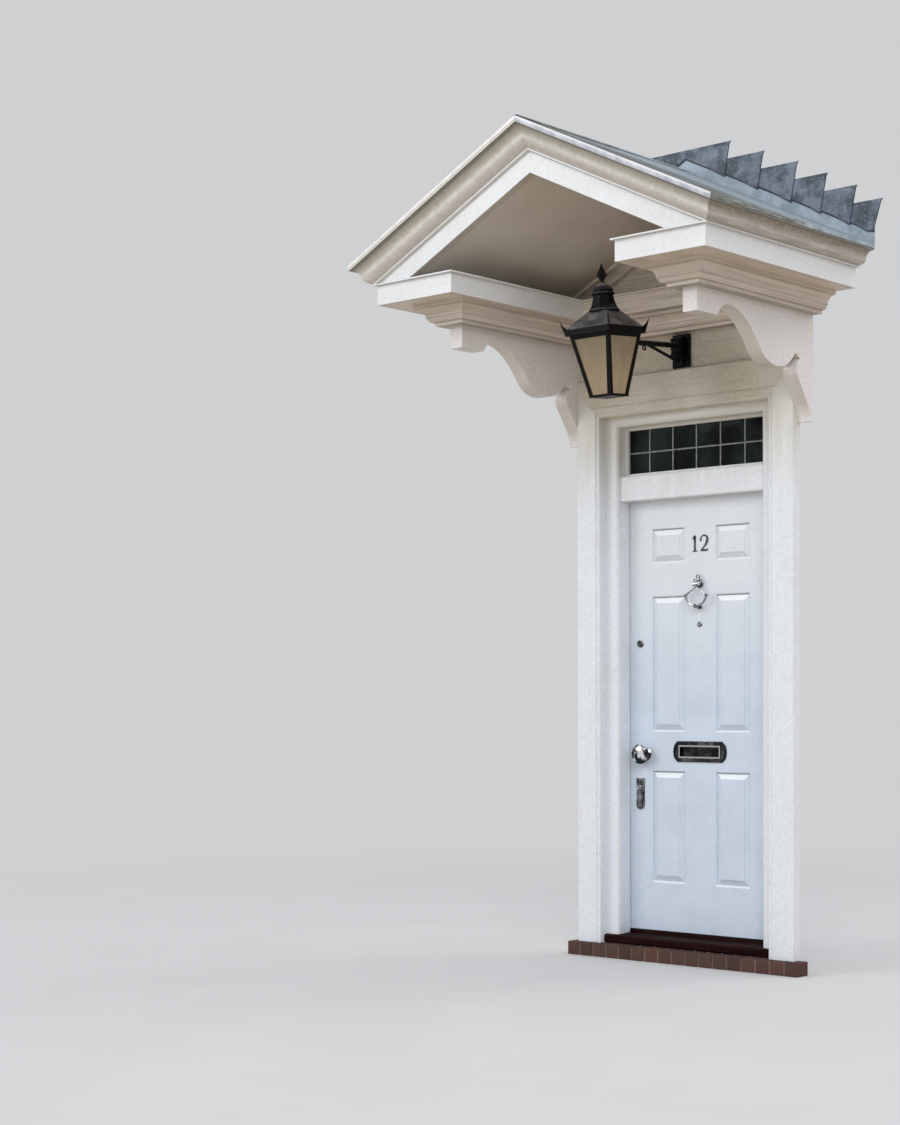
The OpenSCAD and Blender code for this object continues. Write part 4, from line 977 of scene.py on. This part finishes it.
def floor():
    """Pale floor that warms the light it throws up, and fades into the background far from the object."""
    bm = bmesh.new()
    bmesh.ops.create_grid(bm, x_segments=2, y_segments=2, size=14.0)
    mesh = bpy.data.meshes.new("floor")
    bm.to_mesh(mesh)
    bm.free()
    obj = bpy.data.objects.new("floor", mesh)
    bpy.context.scene.collection.objects.link(obj)
    g = Graph("floor_card")
    seen = background_seen(g.tree)
    pale = g.mix(g.remap(g.noise(1.3, 3.0), 0.3, 0.7), (0.635, 0.625, 0.615), (0.655, 0.645, 0.635))
    x, y, _ = g.split(g.place)
    away = g.math("SQRT", g.math("ADD", g.math("MULTIPLY", x, x), g.math("MULTIPLY", y, y)))
    floor_to, background_from = 2.0, 8.0
    far = g.math("MULTIPLY", g.remap(away, floor_to, background_from), seen)
    warm = (0.61, 0.525, 0.43)
    near = g.mix(seen, warm, pale)
    g.set(Base_Color=g.mix(far, near, (0.0, 0.0, 0.0)), Roughness=0.9, Specular_IOR_Level=0.0)
    g.set(Emission_Color=(*BACKGROUND, 1.0), Emission_Strength=far)
    mesh.materials.append(g.mat)


def studio():
    """Even sky light, a broad key from the right, a broad fill from the left and a faint rim from behind."""
    scene = bpy.context.scene
    scene.view_settings.view_transform = "Standard"
    world = bpy.data.worlds.new("studio")
    world.use_nodes = True
    scene.world = world
    tree = world.node_tree
    sky = tree.nodes["Background"]
    seen = background_seen(tree)
    blend = tree.nodes.new("ShaderNodeMix")
    blend.data_type = "RGBA"
    blend.inputs[6].default_value = (0.72, 0.74, 0.78, 1)
    blend.inputs[7].default_value = (*BACKGROUND, 1)
    tree.links.new(seen, blend.inputs[0])
    tree.links.new(blend.outputs[2], sky.inputs["Color"])
    sky.inputs["Strength"].default_value = 1.0
    lamps = [
        ("key", (9.0, -10.3, 9.55), 7.5, 750.0, (0.97, 0.985, 1.0)),
        ("fill", (-7.5, -11.8, 8.05), 7.5, 540.0, (0.93, 0.97, 1.0)),
        ("rim", (3.0, 4.0, 7.0), 4.0, 90.0, (1.0, 1.0, 1.0)),
    ]
    target = Vector((0, -0.4, 1.9))
    for name, place, size, power, colour in lamps:
        data = bpy.data.lights.new(name, "AREA")
        data.shape = "SQUARE"
        data.size = size
        data.energy = power
        data.color = colour
        lamp = bpy.data.objects.new(name, data)
        lamp.location = place
        lamp.rotation_euler = (target - Vector(place)).to_track_quat("-Z", "Y").to_euler()
        scene.collection.objects.link(lamp)


def camera():
    """Fitted to the photograph: place, turn and focal length, with its off-centre crop as a shift."""
    place = (5.520, -7.052, 1.176)
    yaw, pitch, roll = math.radians(39.418), math.radians(-0.83), math.radians(-0.127)
    focal_px, centre_px = 2002.1, (640.0, 730.0)
    ahead = Vector((-math.sin(yaw) * math.cos(pitch), math.cos(yaw) * math.cos(pitch), math.sin(pitch)))
    level = Vector((math.cos(yaw), math.sin(yaw), 0.0))
    upward = level.cross(ahead)
    right = math.cos(roll) * level + math.sin(roll) * upward
    up = -math.sin(roll) * level + math.cos(roll) * upward
    data = bpy.data.cameras.new("camera")
    data.sensor_width = 36.0
    data.lens = focal_px * data.sensor_width / FRAME_H
    data.shift_x = (FRAME_W / 2 - centre_px[0]) / FRAME_H
    data.shift_y = (centre_px[1] - FRAME_H / 2) / FRAME_H
    data.clip_end = 100.0
    obj = bpy.data.objects.new("camera", data)
    turn = Matrix((right, up, -ahead)).transposed().to_4x4()
    obj.matrix_world = Matrix.Translation(place) @ turn
    bpy.context.scene.collection.objects.link(obj)
    bpy.context.scene.camera = obj


main()
floor()
studio()
camera()
